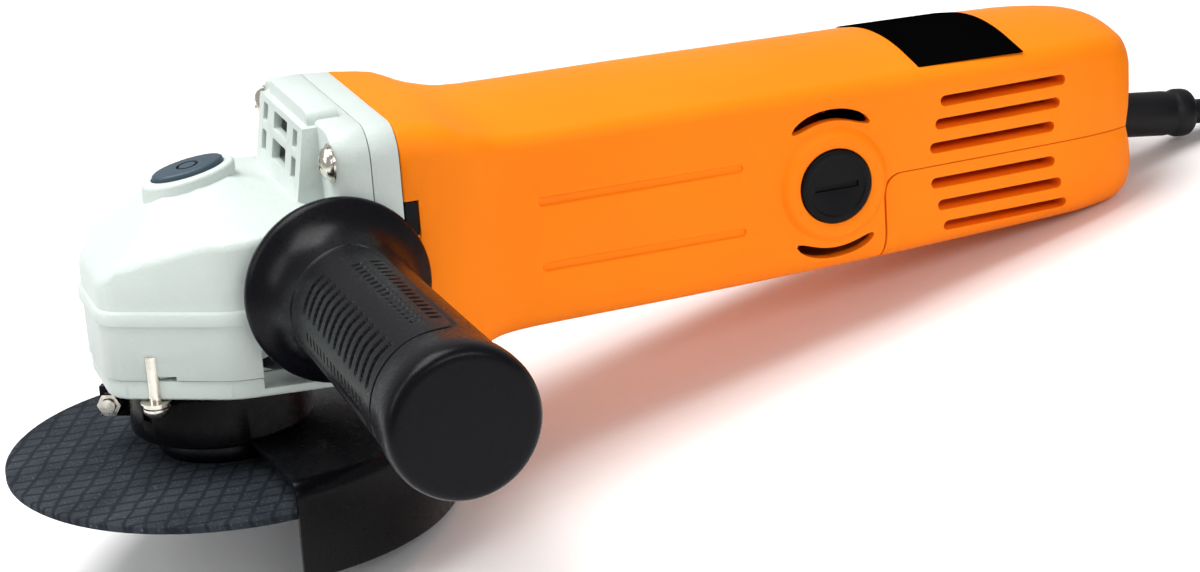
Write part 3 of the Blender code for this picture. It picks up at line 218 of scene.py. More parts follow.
def block(x, y, z):
    return prism("Z", [(x[0], y[0]), (x[1], y[0]), (x[1], y[1]), (x[0], y[1])], *z)


def cylinder(axis, radius, low, high, centre=(0.0, 0.0, 0.0), sides=32):
    return turned(axis, [(0.0, low), (radius, low), (radius, high), (0.0, high)], sides, centre)


def together(*shapes):
    points = []
    faces = []
    for shape_points, shape_faces in shapes:
        base = len(points)
        points.extend(shape_points)
        faces.extend(tuple(base + index for index in face) for face in shape_faces)
    return points, faces


def filleted(corners, steps=6):
    """A polygon of (p, q, radius) corners, each rounded by an arc of its radius."""
    outline = []
    for index, (p, q, radius) in enumerate(corners):
        here = Vector((p, q))
        before = (Vector(corners[index - 1][:2]) - here).normalized()
        after = (Vector(corners[(index + 1) % len(corners)][:2]) - here).normalized()
        if radius == 0.0:
            outline.append((p, q))
            continue
        half = before.angle(after) / 2
        centre = here + (before + after).normalized() * (radius / sin(half))
        first = here + before * (radius / tan(half)) - centre
        last = here + after * (radius / tan(half)) - centre
        swing = first.angle_signed(last)
        for step in range(steps + 1):
            turn = -swing * step / steps
            outline.append((
                centre.x + first.x * cos(turn) - first.y * sin(turn),
                centre.y + first.x * sin(turn) + first.y * cos(turn),
            ))
    return outline


def rounded_box(half_width, top, bottom, radius, steps=6):
    return filleted([
        (-half_width, bottom, radius), (half_width, bottom, radius),
        (half_width, top, radius), (-half_width, top, radius),
    ], steps)


def plate(p, q, radius, steps=6):
    """A rounded rectangle from p[0] to p[1] and q[0] to q[1]."""
    return filleted([(p[0], q[0], radius), (p[1], q[0], radius), (p[1], q[1], radius),
                     (p[0], q[1], radius)], steps)


def crown_arc(half_width, rise):
    """Where the crown's arc would have its corner, and the arc's radius."""
    knee = CROWN_SHARE * half_width
    return knee, knee / tan(atan2(rise, half_width - knee) / 2)


def crowned_box(half_width, top, bottom, corner, rise):
    """A section across X like rounded_box, but with a top that falls by the rise to its sides."""
    knee, crown = crown_arc(half_width, rise)
    shoulder = corner - 0.9 * rise
    return filleted([
        (-half_width, bottom, corner), (half_width, bottom, corner),
        (half_width, top - rise, shoulder), (knee, top, crown),
        (-knee, top, crown), (-half_width, top - rise, shoulder),
    ], 8)


def across_x(outline, x):
    return [(x, y, z) for y, z in outline]


def eased(t):
    t = min(max(t, 0.0), 1.0)
    return t * t * (3 - 2 * t)


def finish(piece, body, slot, material, *nodes):
    """Gives a piece its body and its material, and hides the CAD parts it stands for; its slot is
    not used.
    """
    piece.data.materials.clear()
    piece.data.materials.append(material)
    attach(piece, body)
    if nodes:
        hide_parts(*nodes)
    return piece


# Materials.


class Shader:
    """A Principled material and the nodes that feed it."""

    def __init__(self, name, colour, roughness, metallic=0.0, specular=0.5, coat=0.0):
        self.material = bpy.data.materials.new(name)
        self.material.use_nodes = True
        self.tree = self.material.node_tree
        self.shader = self.tree.nodes["Principled BSDF"]
        self.shader.inputs["Base Color"].default_value = (*colour, 1.0)
        self.shader.inputs["Roughness"].default_value = roughness
        self.shader.inputs["Metallic"].default_value = metallic
        self.shader.inputs["Specular IOR Level"].default_value = specular
        self.shader.inputs["Coat Weight"].default_value = coat
        self.shader.inputs["Coat Roughness"].default_value = 0.15
        self.where = self.tree.nodes.new("ShaderNodeTexCoord").outputs["Object"]
        self.normal = None

    def node(self, kind, **settings):
        made = self.tree.nodes.new(f"ShaderNode{kind}")
        for key, value in settings.items():
            setattr(made, key, value)
        return made

    def link(self, source, target):
        self.tree.links.new(source, target)

    def noise(self, scale, detail=3.0, stretch=(1.0, 1.0, 1.0), rough=0.5):
        """A noise over the piece, with its size in cycles per millimetre."""
        mapping = self.node("Mapping")
        mapping.inputs["Scale"].default_value = stretch
        self.link(self.where, mapping.inputs["Vector"])
        noise = self.node("TexNoise")
        noise.inputs["Scale"].default_value = scale / MM
        noise.inputs["Detail"].default_value = detail
        noise.inputs["Roughness"].default_value = rough
        self.link(mapping.outputs["Vector"], noise.inputs["Vector"])
        return noise.outputs["Fac"]

    def spread(self, source, low, high, out_low, out_high):
        ramp = self.node("MapRange")
        for key, value in (("From Min", low), ("From Max", high), ("To Min", out_low),
                           ("To Max", out_high)):
            ramp.inputs[key].default_value = value
        self.link(source, ramp.inputs["Value"])
        return ramp.outputs["Result"]

    def mixed(self, fac, first, second):
        mix = self.node("Mix", data_type="RGBA")
        self.link(fac, mix.inputs["Factor"])
        for value, socket in ((first, mix.inputs["A"]), (second, mix.inputs["B"])):
            if isinstance(value, tuple):
                socket.default_value = (*value, 1.0)
            else:
                self.link(value, socket)
        return mix.outputs["Result"]

    def colour(self, source):
        self.link(source, self.shader.inputs["Base Color"])

    def roughness(self, source):
        self.link(source, self.shader.inputs["Roughness"])

    def bump(self, height, distance, strength=1.0):
        bump = self.node("Bump")
        bump.inputs["Distance"].default_value = distance * MM
        bump.inputs["Strength"].default_value = strength
        self.link(height, bump.inputs["Height"])
        if self.normal is not None:
            self.link(self.normal, bump.inputs["Normal"])
        self.normal = bump.outputs["Normal"]
        self.link(self.normal, self.shader.inputs["Normal"])


def plastic(name, colour, second, roughness, grain, depth, specular=0.5):
    made = Shader(name, colour, roughness, specular=specular)
    tone = made.noise(0.02, 2.0)
    made.colour(made.mixed(made.spread(tone, 0.35, 0.65, 0.0, 1.0), colour, second))
    fine = made.noise(grain, 4.0)
    made.roughness(made.spread(fine, 0.3, 0.7, roughness - 0.05, roughness + 0.06))
    made.bump(fine, depth)
    return made.material


def metal(name, colour, second, roughness, grain=0.6, stretch=(1.0, 1.0, 1.0), depth=0.01):
    made = Shader(name, colour, roughness, metallic=1.0)
    tone = made.noise(0.05, 4.0)
    made.colour(made.mixed(made.spread(tone, 0.3, 0.7, 0.0, 1.0), colour, second))
    fine = made.noise(grain, 5.0, stretch)
    made.roughness(made.spread(fine, 0.3, 0.7, roughness - 0.08, roughness + 0.1))
    made.bump(fine, depth)
    return made.material


def casting():
    made = Shader("cast_grey", (0.55, 0.61, 0.58), 0.42, metallic=0.0, specular=0.3)
    tone = made.noise(0.03, 3.0)
    made.colour(made.mixed(made.spread(tone, 0.3, 0.7, 0.0, 1.0), (0.52, 0.58, 0.55),
                           (0.57, 0.63, 0.60)))
    sand = made.noise(1.1, 3.0)
    made.roughness(made.spread(sand, 0.3, 0.7, 0.36, 0.5))
    made.bump(made.noise(0.35, 2.0), 0.14)
    made.bump(sand, 0.10)
    return made.material


def fibre_disc():
    """Dark grit with two crossing sets of glass-fibre threads and paler specks."""
    made = Shader("fibre_disc", (0.025, 0.030, 0.036), 0.85, specular=0.12)
    threads = []
    for turn in (24.0, 96.0):
        mapping = made.node("Mapping")
        mapping.inputs["Rotation"].default_value = (0.0, 0.0, radians(turn))
        made.link(made.where, mapping.inputs["Vector"])
        wave = made.node("TexWave", wave_type="BANDS", bands_direction="X",
                         wave_profile="SIN")
        wave.inputs["Scale"].default_value = 62.0
        wave.inputs["Distortion"].default_value = 1.6
        wave.inputs["Detail"].default_value = 2.0
        wave.inputs["Detail Scale"].default_value = 1.5
        made.link(mapping.outputs["Vector"], wave.inputs["Vector"])
        threads.append(made.spread(wave.outputs["Fac"], 0.8, 0.98, 0.0, 1.0))
    either = made.node("Math", operation="MAXIMUM")
    made.link(threads[0], either.inputs[0])
    made.link(threads[1], either.inputs[1])
    grit = made.noise(1.6, 4.0, rough=0.7)
    patch = made.noise(0.06, 3.0)
    base = made.mixed(made.spread(patch, 0.35, 0.65, 0.0, 1.0), (0.018, 0.023, 0.029),
                      (0.034, 0.041, 0.050))
    specks = made.spread(grit, 0.58, 0.72, 0.0, 1.0)
    speckled = made.mixed(specks, base, (0.13, 0.145, 0.165))
    dim = made.node("Math", operation="MULTIPLY")
    made.link(either.outputs["Value"], dim.inputs[0])
    dim.inputs[1].default_value = 0.75
    made.colour(made.mixed(dim.outputs["Value"], speckled, (0.008, 0.010, 0.014)))
    made.bump(either.outputs["Value"], -0.12)
    made.bump(grit, 0.10)
    return made.material


def wound(name, colour, axis, pitch):
    """Fine parallel wires or sheets, across one axis, darker in the valleys between them: painted
    shade between the wires, and between the sheets both their dark joints and painted shade.
    """
    made = Shader(name, colour, 0.35, metallic=1.0)
    wave = made.node("TexWave", wave_type="BANDS", bands_direction=axis, wave_profile="SIN")
    wave.inputs["Scale"].default_value = 314.16 / pitch
    made.link(made.where, wave.inputs["Vector"])
    # dark: painted shade in the valleys between wires, and between sheets also their dark joints.
    dark = tuple(part * 0.35 for part in colour)
    made.colour(made.mixed(wave.outputs["Fac"], dark, colour))
    made.bump(wave.outputs["Fac"], 0.15)
    return made.material


ORANGE = plastic("orange_nylon", (0.95, 0.21, 0.002), (0.96, 0.225, 0.003), 0.5, 2.2, 0.008, 0.12)
GREY = casting()
BLACK = plastic("black_nylon", (0.003, 0.003, 0.004), (0.005, 0.005, 0.007), 0.34, 1.6, 0.01, 0.1)
GRIP = plastic("grip_nylon", (0.002, 0.002, 0.003), (0.003, 0.003, 0.005), 0.3, 1.1, 0.012, 0.12)
PAINT = plastic("black_enamel", (0.002, 0.002, 0.003), (0.003, 0.003, 0.004), 0.24, 0.5, 0.01, 0.1)
LABEL = plastic("label_film", (0.001, 0.001, 0.0012), (0.0014, 0.0014, 0.0016), 0.7, 1.0, 0.0, 0.0)
SLATE = plastic("slate_nylon", (0.040, 0.064, 0.084), (0.047, 0.074, 0.097), 0.36, 1.4, 0.01, 0.25)
RUBBER = plastic("black_rubber", (0.003, 0.003, 0.004), (0.005, 0.005, 0.007), 0.5, 1.5, 0.012, 0.25)
CARBON = plastic("graphite", (0.030, 0.030, 0.033), (0.045, 0.045, 0.048), 0.6, 1.2, 0.03)
FELT = plastic("pressed_felt", (0.40, 0.38, 0.33), (0.32, 0.30, 0.26), 0.9, 1.0, 0.2)
STEEL = metal("machined_steel", (0.50, 0.50, 0.52), (0.60, 0.60, 0.61), 0.3)
DARK_STEEL = metal("black_oxide", (0.030, 0.030, 0.034), (0.045, 0.045, 0.050), 0.35)
NICKEL = metal("nickel", (0.78, 0.75, 0.68), (0.66, 0.62, 0.54), 0.2)
BRASS = metal("drawn_brass", (0.72, 0.52, 0.22), (0.62, 0.44, 0.17), 0.3)
COPPER = wound("copper_wire", (0.70, 0.30, 0.13), "X", 0.8)
SHEETS = wound("core_sheets", (0.36, 0.36, 0.37), "X", 0.6)
DISC = fibre_disc()


# The gear head.


HEAD_CORNERS = ((-31.0, -15.0, 9.0), (-2.0, -32.6, 20.0), (28.0, -36.2, 0.0))


def head_plan(scale=1.0, grow=0.0):
    left = [(x, y, radius) for x, y, radius in HEAD_CORNERS]
    right = [(x, -y, radius) for x, y, radius in reversed(HEAD_CORNERS)]
    plan = []
    for x, y in filleted(left + right, 10):
        reach = max(hypot(x, y), 1.0)
        out = scale + grow / reach
        plan.append((x * out, y * out))
    return plan


def soft_min(values, soft):
    lowest = min(values)
    return lowest - soft * sum(max(0.0, 1.0 - (value - lowest) / (3.0 * soft)) ** 2
                               for value in values) / 3.0 + soft / 3.0


def head_top(x, y):
    """The height of the roof: a front slope, two side slopes and a flat ridge."""
    front = 1.0 + 0.92 * (x + 31.0)
    side = 21.0 + 0.14 * x - 0.42 * max(abs(y) - 9.0, 0.0)
    ridge = 21.5 + 0.12 * x
    return soft_min((front, side, ridge), 1.6)


def head_walls():
    """The head's walls with their rib, and its roof drawn in ring by ring."""
    levels = ((HEAD_BOTTOM, 0.0), (-10.4, 0.0), (-9.7, 0.15), (-9.4, 0.9), (-6.6, 0.9),
              (-6.0, 0.5), (-5.7, 0.0), (-3.5, -0.1))
    loops = [[(x, y, z) for x, y in head_plan(1.0, grow)] for z, grow in levels]
    rings = (1.0, 0.985, 0.96, 0.93, 0.9, 0.86, 0.82, 0.77, 0.72, 0.66, 0.6, 0.54, 0.48,
             0.42, 0.36, 0.3, 0.24, 0.18, 0.12, 0.06)
    drops = (1.6, 0.5, 0.12)
    for index, ring in enumerate(rings):
        drop = drops[index] if index < len(drops) else 0.0
        plan = head_plan(ring, -0.1)
        loops.append([(x, y, max(head_top(x, y) - drop, -3.3)) for x, y in plan])
    return skin(loops)


def sloped_oval(half_length, half_width, bottom, top, slope, round_over=0.0):
    """An upright oval whose top leans with the roof, with a rounded upper edge."""
    turn = [2 * pi * step / 48 for step in range(48)]
    levels = [(0.0, bottom, 0.0), (0.0, top - round_over, 1.0)]
    if round_over:
        levels += [(round_over * (1 - cos(a)), top - round_over * (1 - sin(a)), 1.0)
                   for a in (0.4, 0.8, 1.2, pi / 2)]
    loops = []
    for inset, z, lean in levels:
        loops.append([
            (-2.0 + (half_length - inset) * cos(a), (half_width - inset) * sin(a),
             z + lean * slope * (half_length - inset) * cos(a)) for a in turn
        ])
    return skin(loops)


def vent_outline(inset, low, back):
    lean = (23.7 - 20.3) / (34.8 - 14.0)
    roof = 34.8 - inset
    front = [(20.3 + lean * (z - 14.0) + inset, z) for z in (low, roof)]
    return [front[0], (back, low), (back, roof), front[1]]


def vent_windows():
    """Two rows of three windows: a wide one between two narrow ones."""
    shapes = []
    for low, high in ((20.6, 26.2), (28.4, 33.2)):
        for left, right, cut in ((-17.6, -13.2, 0.5), (-7.2, 6.4, 0.5), (13.0, 17.5, 0.5)):
            shapes.append(prism("X", plate((left, right), (low, high), cut, 3), 15.0, 36.0))
    return shapes


def side_drive(index, y, z):
    """A pan-head screw with a cross recess, its washer under it."""
    centre = (0.0, y, z)
    face = FLANGE_FRONT_X - 0.3
    head = [(0.0, face - 2.7), (1.6, face - 2.65), (2.9, face - 2.3), (3.8, face - 1.6),
            (4.2, face - 0.7), (4.2, face - 0.3), (2.0, face - 0.3), (2.0, face + 24.4),
            (0.0, face + 24.4)]
    piece = placed(f"case_bolt_{index}", *turned("X", head, 40, centre))
    for bar in cross_recess("X", face - 2.9, face - 0.9, centre, radians(20.0 * index)):
        carve(piece, [bar])
    washer = turned("X", [(2.2, face - 0.25), (5.0, face - 0.25), (5.0, face + 0.25),
                          (2.2, face + 0.25)], 40, centre)
    finish(piece, "housing", "bright_steel", NICKEL, f"case_screw_{index}")
    ring = placed(f"case_washer_{index}", *washer)
    finish(ring, "housing", "bright_steel", NICKEL)


def cross_recess(axis, low, high, centre, turn):
    """Two crossing tapered bars."""
    bars = []
    for angle in (turn, turn + pi / 2):
        loops = []
        for along, long, wide in ((low, 2.3, 0.62), (high, 0.9, 0.3)):
            loop = []
            for p, q in ((-long, -wide), (long, -wide), (long, wide), (-long, wide)):
                a = p * cos(angle) - q * sin(angle)
                b = p * sin(angle) + q * cos(angle)
                loop.append((along, centre[1] + a, centre[2] + b) if axis == "X"
                            else (centre[0] + a, centre[1] + b, along))
            loops.append(loop)
        bars.append(skin(loops))
    return bars


def under_bolt(index, x, y):
    """A screw under the bearing box: a spring washer, then a pan head."""
    centre = (x, y, 0.0)
    top = BOX_FLANGE_BOTTOM - 0.3
    profile = [(0.0, top - 4.2), (1.4, top - 4.1), (2.6, top - 3.7), (3.4, top - 2.9),
               (3.5, top - 2.0), (3.5, top - 1.6), (2.6, top - 1.5), (2.6, top - 1.3),
               (3.4, top - 1.2), (3.4, top - 0.4), (3.9, top - 0.35), (3.9, top), (1.7, top),
               (1.7, top + 12.0), (0.0, top + 12.0)]
    piece = placed(f"box_bolt_{index}", *turned("Z", profile, 32, centre))
    for bar in cross_recess("Z", top - 4.4, top - 2.4, centre, 0.4 * index):
        carve(piece, [bar])
    finish(piece, "housing", "bright_steel", NICKEL, f"box_screw_{index}")


def build_gear_head():
    head = placed("gear_head", *head_walls())
    split(head.data)
    section = rounded_box(CASE_HALF_WIDTH, CASE_TOP, CASE_BOTTOM, 8.0)
    slim = rounded_box(CASE_HALF_WIDTH - 0.7, CASE_TOP - 0.7, CASE_BOTTOM + 0.7, 7.3)
    flange = skin([across_x(slim, FLANGE_FRONT_X), across_x(section, FLANGE_FRONT_X + 0.9),
                   across_x(section, SEAM_X)])
    vent = prism("Y", vent_outline(0.0, 12.0, SEAM_X - 4.0), -22.0, 22.0)
    bar = prism("X", rounded_box(19.5, 38.4, 30.0, 2.6), 25.6, 33.6)
    collar = sloped_oval(12.2, 9.0, 8.0, 23.0, 0.17, 1.1)
    bosses = [
        turned("Y", [(0.0, side * 24.0), (13.0, side * 24.0), (12.0, side * 36.6),
                     (11.4, side * 37.3), (0.0, side * 37.3)], 48, (HANDLE_X, 0.0, HANDLE_Z))
        for side in (-1, 1)
    ]
    for shape in (flange, vent, bar, collar, *bosses):
        carve(head, [shape], "UNION")
    holes = [prism("Y", vent_outline(2.2, 17.4, SEAM_X + 1.0), -19.8, 19.8),
             cylinder("X", 11.3, 24.7, SEAM_X + 1.0), *vent_windows()]
    holes += [cylinder("X", 2.3, 20.0, SEAM_X + 1.0, (0.0, y, z), 16) for y, z in CASE_SCREWS]
    holes += [cylinder("Y", 4.3, *sorted((side * 25.0, side * 40.0)),
                       (HANDLE_X, 0.0, HANDLE_Z)) for side in (-1, 1)]
    holes += [cylinder("X", 5.2, 5.0, FLANGE_FRONT_X, (0.0, y, z)) for y, z in CASE_SCREWS
              if z < 0]
    holes.append(block((-29.0, -13.0), (-24.5, -21.0), (HEAD_BOTTOM - 1.0, -22.9)))
    for hole in holes[:2]:
        carve(head, [hole])
    carve(head, holes[2:])
    carve(head, [sloped_oval(9.7, 6.6, 17.5, 40.0, 0.17)])
    carve(head, [
        skin([[(x, y, z) for x, y in head_plan(scale)] for scale, z in (
            (0.84, HEAD_BOTTOM - 2.0), (0.84, -8.0), (0.5, 11.0))])
    ])
    soften(head, 0.45, 42.0)
    finish(head, "housing", "grey_casting", GREY, "gear_housing")


def build_bracket_and_box():
    outer = rounded_box(CASE_HALF_WIDTH, CASE_TOP, CASE_BOTTOM, 8.0)
    back = rounded_box(CASE_HALF_WIDTH - 0.5, CASE_TOP - 0.5, CASE_BOTTOM + 0.3, 8.0)
    inner = rounded_box(30.5, 31.5, -25.0, 12.0)
    loops = [across_x(outer, SEAM_X + 0.3), across_x(back, BRACKET_END_X),
             across_x(inner, BRACKET_END_X), across_x(inner, SEAM_X + 0.3)]
    bracket = placed("bracket_casting", *skin(loops, ring=True))
    carve(bracket, [cylinder("X", 2.3, 30.0, 50.0, (0.0, y, z), 16) for y, z in CASE_SCREWS])
    soften(bracket, 0.4, 42.0)
    finish(bracket, "housing", "grey_casting", GREY, "middle_bracket")
    plan = [(min(x, FLANGE_FRONT_X - 1.5), y) for x, y in head_plan(0.985)]
    inside = [(x * 0.985, y * 0.985) for x, y in plan]
    loops = [[(x, y, BOX_FLANGE_BOTTOM) for x, y in inside],
             [(x, y, BOX_FLANGE_BOTTOM + 0.5) for x, y in plan],
             [(x, y, HEAD_BOTTOM - 0.3) for x, y in plan]]
    box = placed("bearing_casting", *skin(loops))
    carve(box, [cylinder("Z", 21.8, -42.0, -27.3, sides=SIDES)], "UNION")
    seat = turned("Z", [(0.0, -45.0), (9.5, -45.0), (9.5, -38.0), (16.3, -38.0),
                        (16.3, -20.0), (0.0, -20.0)])
    wells = [cylinder("X", 5.2, 5.0, 30.0, (0.0, y, z)) for y, z in CASE_SCREWS if z < 0]
    carve(box, [seat])
    carve(box, wells)
    soften(box, 0.35, 42.0)
    finish(box, "housing", "grey_casting", GREY, "bearing_box")
    for index, (y, z) in enumerate(CASE_SCREWS, 1):
        side_drive(index, y, z)
    places = [(sx * BOX_SCREW_AT, sy * BOX_SCREW_AT) for sx in (-1, 1) for sy in (-1, 1)]
    for index, (x, y) in enumerate(places, 1):
        under_bolt(index, x, y)


def build_button():
    button = placed("lock_cap", *sloped_oval(9.3, 6.2, 19.3, 24.3, 0.17, 0.8))
    pin = cylinder("Z", 1.9, -4.9, 21.0, (-8.5, 0.0, 0.0), 24)
    carve(button, [pin], "UNION")
    groove = turned("Z", [(2.1, 23.2), (2.9, 23.2), (2.9, 30.0), (2.1, 30.0)], 32,
                    (-2.0, 0.0, 0.0))
    carve(button, [groove])
    finish(button, "lock_button", "button_plastic", SLATE, "lock_button")


# The disc, its clamping pieces and the guard.


def build_disc():
    top = DISC_TOP
    low = top - 2.3
    disc = placed("abrasive_disc", *turned("Z", [
        (11.1, low), (57.0, low), (57.5, low + 0.4), (57.5, top - 0.4), (57.0, top),
        (11.1, top)], 128))
    finish(disc, "spindle_set", "abrasive", DISC, "grinding_disc")
    ring = placed("disc_ring", *turned("Z", [
        (7.4, top - 0.05), (11.0, top - 0.05), (11.0, low + 0.1), (7.4, low + 0.1)], 64))
    finish(ring, "spindle_set", "steel", NICKEL)
    flange = placed("clamp_flange", *turned("Z", [
        (7.3, -46.4), (16.4, -46.4), (17.0, -46.6), (17.4, -47.2), (17.4, -50.4),
        (17.1, top + 0.3), (7.3, top + 0.3)], SIDES))
    finish(flange, "spindle_set", "dark_steel", DARK_STEEL, "inner_flange")
    nut = placed("spanner_nut", *turned("Z", [
        (7.3, low - 0.3), (16.7, low - 0.3), (17.0, low - 0.6), (17.0, low - 3.6),
        (16.6, low - 4.0), (12.2, low - 7.5), (11.7, low - 7.8), (7.3, low - 7.8)], SIDES))
    carve(nut, [cylinder("Z", 1.9, low - 10.0, low - 2.3, (x, y, 0.0), 20)
                for x, y in ((-14.4, 0.0), (14.4, 0.0))])
    finish(nut, "spindle_set", "steel", STEEL, "lock_nut")
    thread = [(0.0, -64.0), (5.9, -64.0), (6.9, -63.0)]
    for turn in range(8):
        z = -62.4 + 2.0 * turn
        thread += [(6.2, z), (6.95, z + 1.0)]
    thread += [(6.95, -45.9), (8.6, -45.6), (8.6, -36.4), (6.0, -36.0), (6.0, -7.4),
               (3.0, -7.0), (3.0, 7.9), (2.4, 8.5), (0.0, 8.5)]
    shaft = placed("threaded_spindle", *turned("Z", thread, 48), smooth=25.0)
    finish(shaft, "spindle_set", "steel", STEEL, "spindle")


def lug_point(turn, reach, side):
    return (reach * cos(turn) - side * sin(turn), reach * sin(turn) + side * cos(turn))


def build_guard():
    top = -43.2
    bottom = -68.6
    radius = 60.8
    profile = [(22.8, top), (radius - 4.2, top), (radius - 2.6, top - 0.35),
               (radius - 1.2, top - 1.3), (radius - 0.3, top - 2.7), (radius, top - 4.4),
               (radius, bottom + 0.6), (radius - 0.5, bottom), (radius - 1.1, bottom),
               (radius - 1.5, bottom + 0.5), (radius - 1.5, top - 4.4),
               (radius - 2.4, top - 2.5), (radius - 4.2, top - 1.5), (22.8, top - 1.5)]
    guard = placed("guard_sheet", *swept(profile, -86.0, 94.0, 72))
    split(guard.data)
    band = turned("Z", [(22.2, top - 1.5), (23.4, top - 1.5), (24.0, top - 0.8), (24.0, -31.6),
                        (23.6, -31.2), (22.2, -31.2)], 96)
    carve(guard, [band], "UNION")
    turn = radians(150.0)
    for offset in (-3.4, 3.4):
        lug = [lug_point(turn, reach, offset + side)
               for reach, side in ((23.0, -1.2), (31.5, -1.2), (31.5, 1.2), (23.0, 1.2))]
        carve(guard, [prism("Z", lug, top + 0.4, -34.6)], "UNION")
    key = [lug_point(radians(206.0), reach, side)
           for reach, side in ((20.0, -1.8), (26.0, -1.8), (26.0, 1.8), (20.0, 1.8))]
    slit = [lug_point(turn, reach, side)
            for reach, side in ((20.0, -1.2), (26.0, -1.2), (26.0, 1.2), (20.0, 1.2))]
    carve(guard, [prism("Z", key, -38.5, -35.0), prism("Z", slit, top - 3.0, -30.2)])
    hole = []
    for side in (-8.0, 8.0):
        loop = []
        for step in range(20):
            a = 2 * pi * step / 20
            x, y = lug_point(turn, 28.2 + 2.3 * cos(a), side)
            loop.append((x, y, -38.8 + 2.3 * sin(a)))
        hole.append(loop)
    carve(guard, [skin(hole)])
    soften(guard, 0.25, 42.0)
    finish(guard, "guard", "black_paint", PAINT, "wheel_guard")


# The motor housing and the rear cover.

BODY_STATIONS = (
    (44.3, 36.6, 35.5, -29.3, 8.0, 0.1),
    (56.0, 36.5, 34.9, -29.1, 9.0, 1.8),
    (63.0, 35.6, 33.4, -28.4, 10.0, 4.2),
    (71.0, 32.4, 32.2, -27.4, 10.0, 5.2),
    (79.0, 31.8, 31.9, -27.0, 10.0, 5.5),
    (120.0, 31.7, 31.6, -26.4, 10.0, 5.3),
    (170.0, 31.0, 31.0, -25.3, 10.0, 5.0),
    (205.0, 29.5, 30.6, -24.4, 10.0, 4.6),
    (238.0, 27.5, 30.0, -23.5, 10.0, 4.2),
    (250.0, 25.3, 28.8, -23.2, 11.0, 4.0),
    (256.0, 22.6, 27.0, -21.85, 11.0, 3.6),
    (258.6, 18.0, 23.8, -19.2, 11.0, 3.2),
    (259.5, 12.0, 18.5, -14.5, 8.0, 2.5),
)
BODY_CUTS = (44.3, 44.7, 48.0, 52.0, 56.0, 59.0, 61.0, 63.0, 65.0, 67.0, 69.0, 71.0, 74.0, 79.0,
             90.0, 105.0, 120.0, 137.0, 155.0, 170.0, 188.0, 205.0, 216.0, 227.0, 233.0, 238.0,
             242.0, 246.0, 250.0, 252.0, 254.0, 256.0, 257.3, 258.2, 258.9, 259.3, 259.5)
WALL = 2.7
INNER_END = 252.0
COVER_SCREWS_X = (195.0, 238.0)
CROWN_SHARE = 0.3


def station(x):
    """The housing's half width, top, bottom, corner radius and crown at x, eased."""
    for index, (here, after) in enumerate(zip(BODY_STATIONS, BODY_STATIONS[1:])):
        if x <= after[0]:
            break
    before = BODY_STATIONS[max(index - 1, 0)]
    beyond = BODY_STATIONS[min(index + 2, len(BODY_STATIONS) - 1)]
    span = after[0] - here[0]
    t = (x - here[0]) / span
    made = []
    for k in range(1, 6):
        rise = (after[k] - here[k]) / span
        into = (here[k] - before[k]) / max(here[0] - before[0], 1.0) if index else rise
        out = (beyond[k] - after[k]) / max(beyond[0] - after[0], 1.0) if beyond != after else rise
        slope_a = 2 * into * rise / (into + rise) if into * rise > 0 else 0.0
        slope_b = 2 * out * rise / (out + rise) if out * rise > 0 else 0.0
        made.append((2 * t ** 3 - 3 * t * t + 1) * here[k] + (t ** 3 - 2 * t * t + t) * span
                    * slope_a + (3 * t * t - 2 * t ** 3) * after[k] + (t ** 3 - t * t) * span
                    * slope_b)
    return made


def body_cup():
    """The housing as one cup: its outside back to the tail, its inside forward again."""
    outside = []
    inside = []
    for x in BODY_CUTS:
        half, top, bottom, corner, rise = station(x)
        rim = 0.35 if x == BODY_CUTS[0] else 0.0
        outside.append(across_x(crowned_box(half - rim, top - rim, bottom + rim, corner, rise), x))
        if x > INNER_END:
            continue
        in_chamber = x <= 64.0
        inner = min(half - WALL, 31.5)
        roof = min(top - WALL, 31.5)
        radius = 14.0 if in_chamber else corner - WALL
        rise = 0.1 if in_chamber else rise
        inside.append(across_x(crowned_box(inner, roof, bottom + WALL, radius, rise), x))
    count = len(outside[0])
    points, faces = skin(outside + inside[::-1], ring=True)
    bridge = (len(outside) - 1) * count
    faces = [face for face in faces if not (min(face) >= bridge and max(face) < bridge + 2 * count
                                            and min(face) < bridge + count <= max(face))]
    faces.append(tuple(range(bridge, bridge + count)))
    faces.append(tuple(range(bridge + count, bridge + 2 * count)))
    return points, faces


def arc_slot(middle, y):
    """A round-ended slot along an arc round the brush cap, wider at its middle."""
    spread = radians(36.0)
    outer = []
    inner = []
    for step in range(17):
        share = 2 * step / 16 - 1
        a = middle + spread * share
        half = 1.75 * sqrt(max(1 - 0.9 * share ** 4, 0.0)) - 0.12
        outer.append((BRUSH_X + (19.0 + half) * cos(a), (19.0 + half) * sin(a)))
        inner.append((BRUSH_X + (19.0 - half) * cos(a), (19.0 - half) * sin(a)))
    return prism("Y", outer + inner[::-1], *y)


def side_slots(heights):
    """Round-ended air slots through both sides."""
    slots = []
    for side in (-1, 1):
        for z in heights:
            late = 0.13 * (abs(z) - 4.9)
            outline = plate((191.9 + 2.2 * late, 230.2 + 2.3 * late), (z - 1.5, z + 1.5), 1.45, 5)
            slots.append(prism("Y", outline, *sorted((side * 18.0, side * 36.0))))
    return slots


SLOT_BACKINGS = ((-1, 19.5), (1, 23.5))


def slot_backing(side, up, inner):
    """The deep wall that the air slots pass through, on one side above or below the seam."""
    loops = []
    for x in (191.0, 205.0, 220.0, 235.0):
        half = station(x)[0]
        outline = ((inner, 1.2), (half - 1.1, 1.2), (half - 1.1, 15.0), (half - 3.9, 20.0),
                   (inner, 20.0))
        loops.append([(x, side * y, up * z) for y, z in outline])
    return skin(loops)


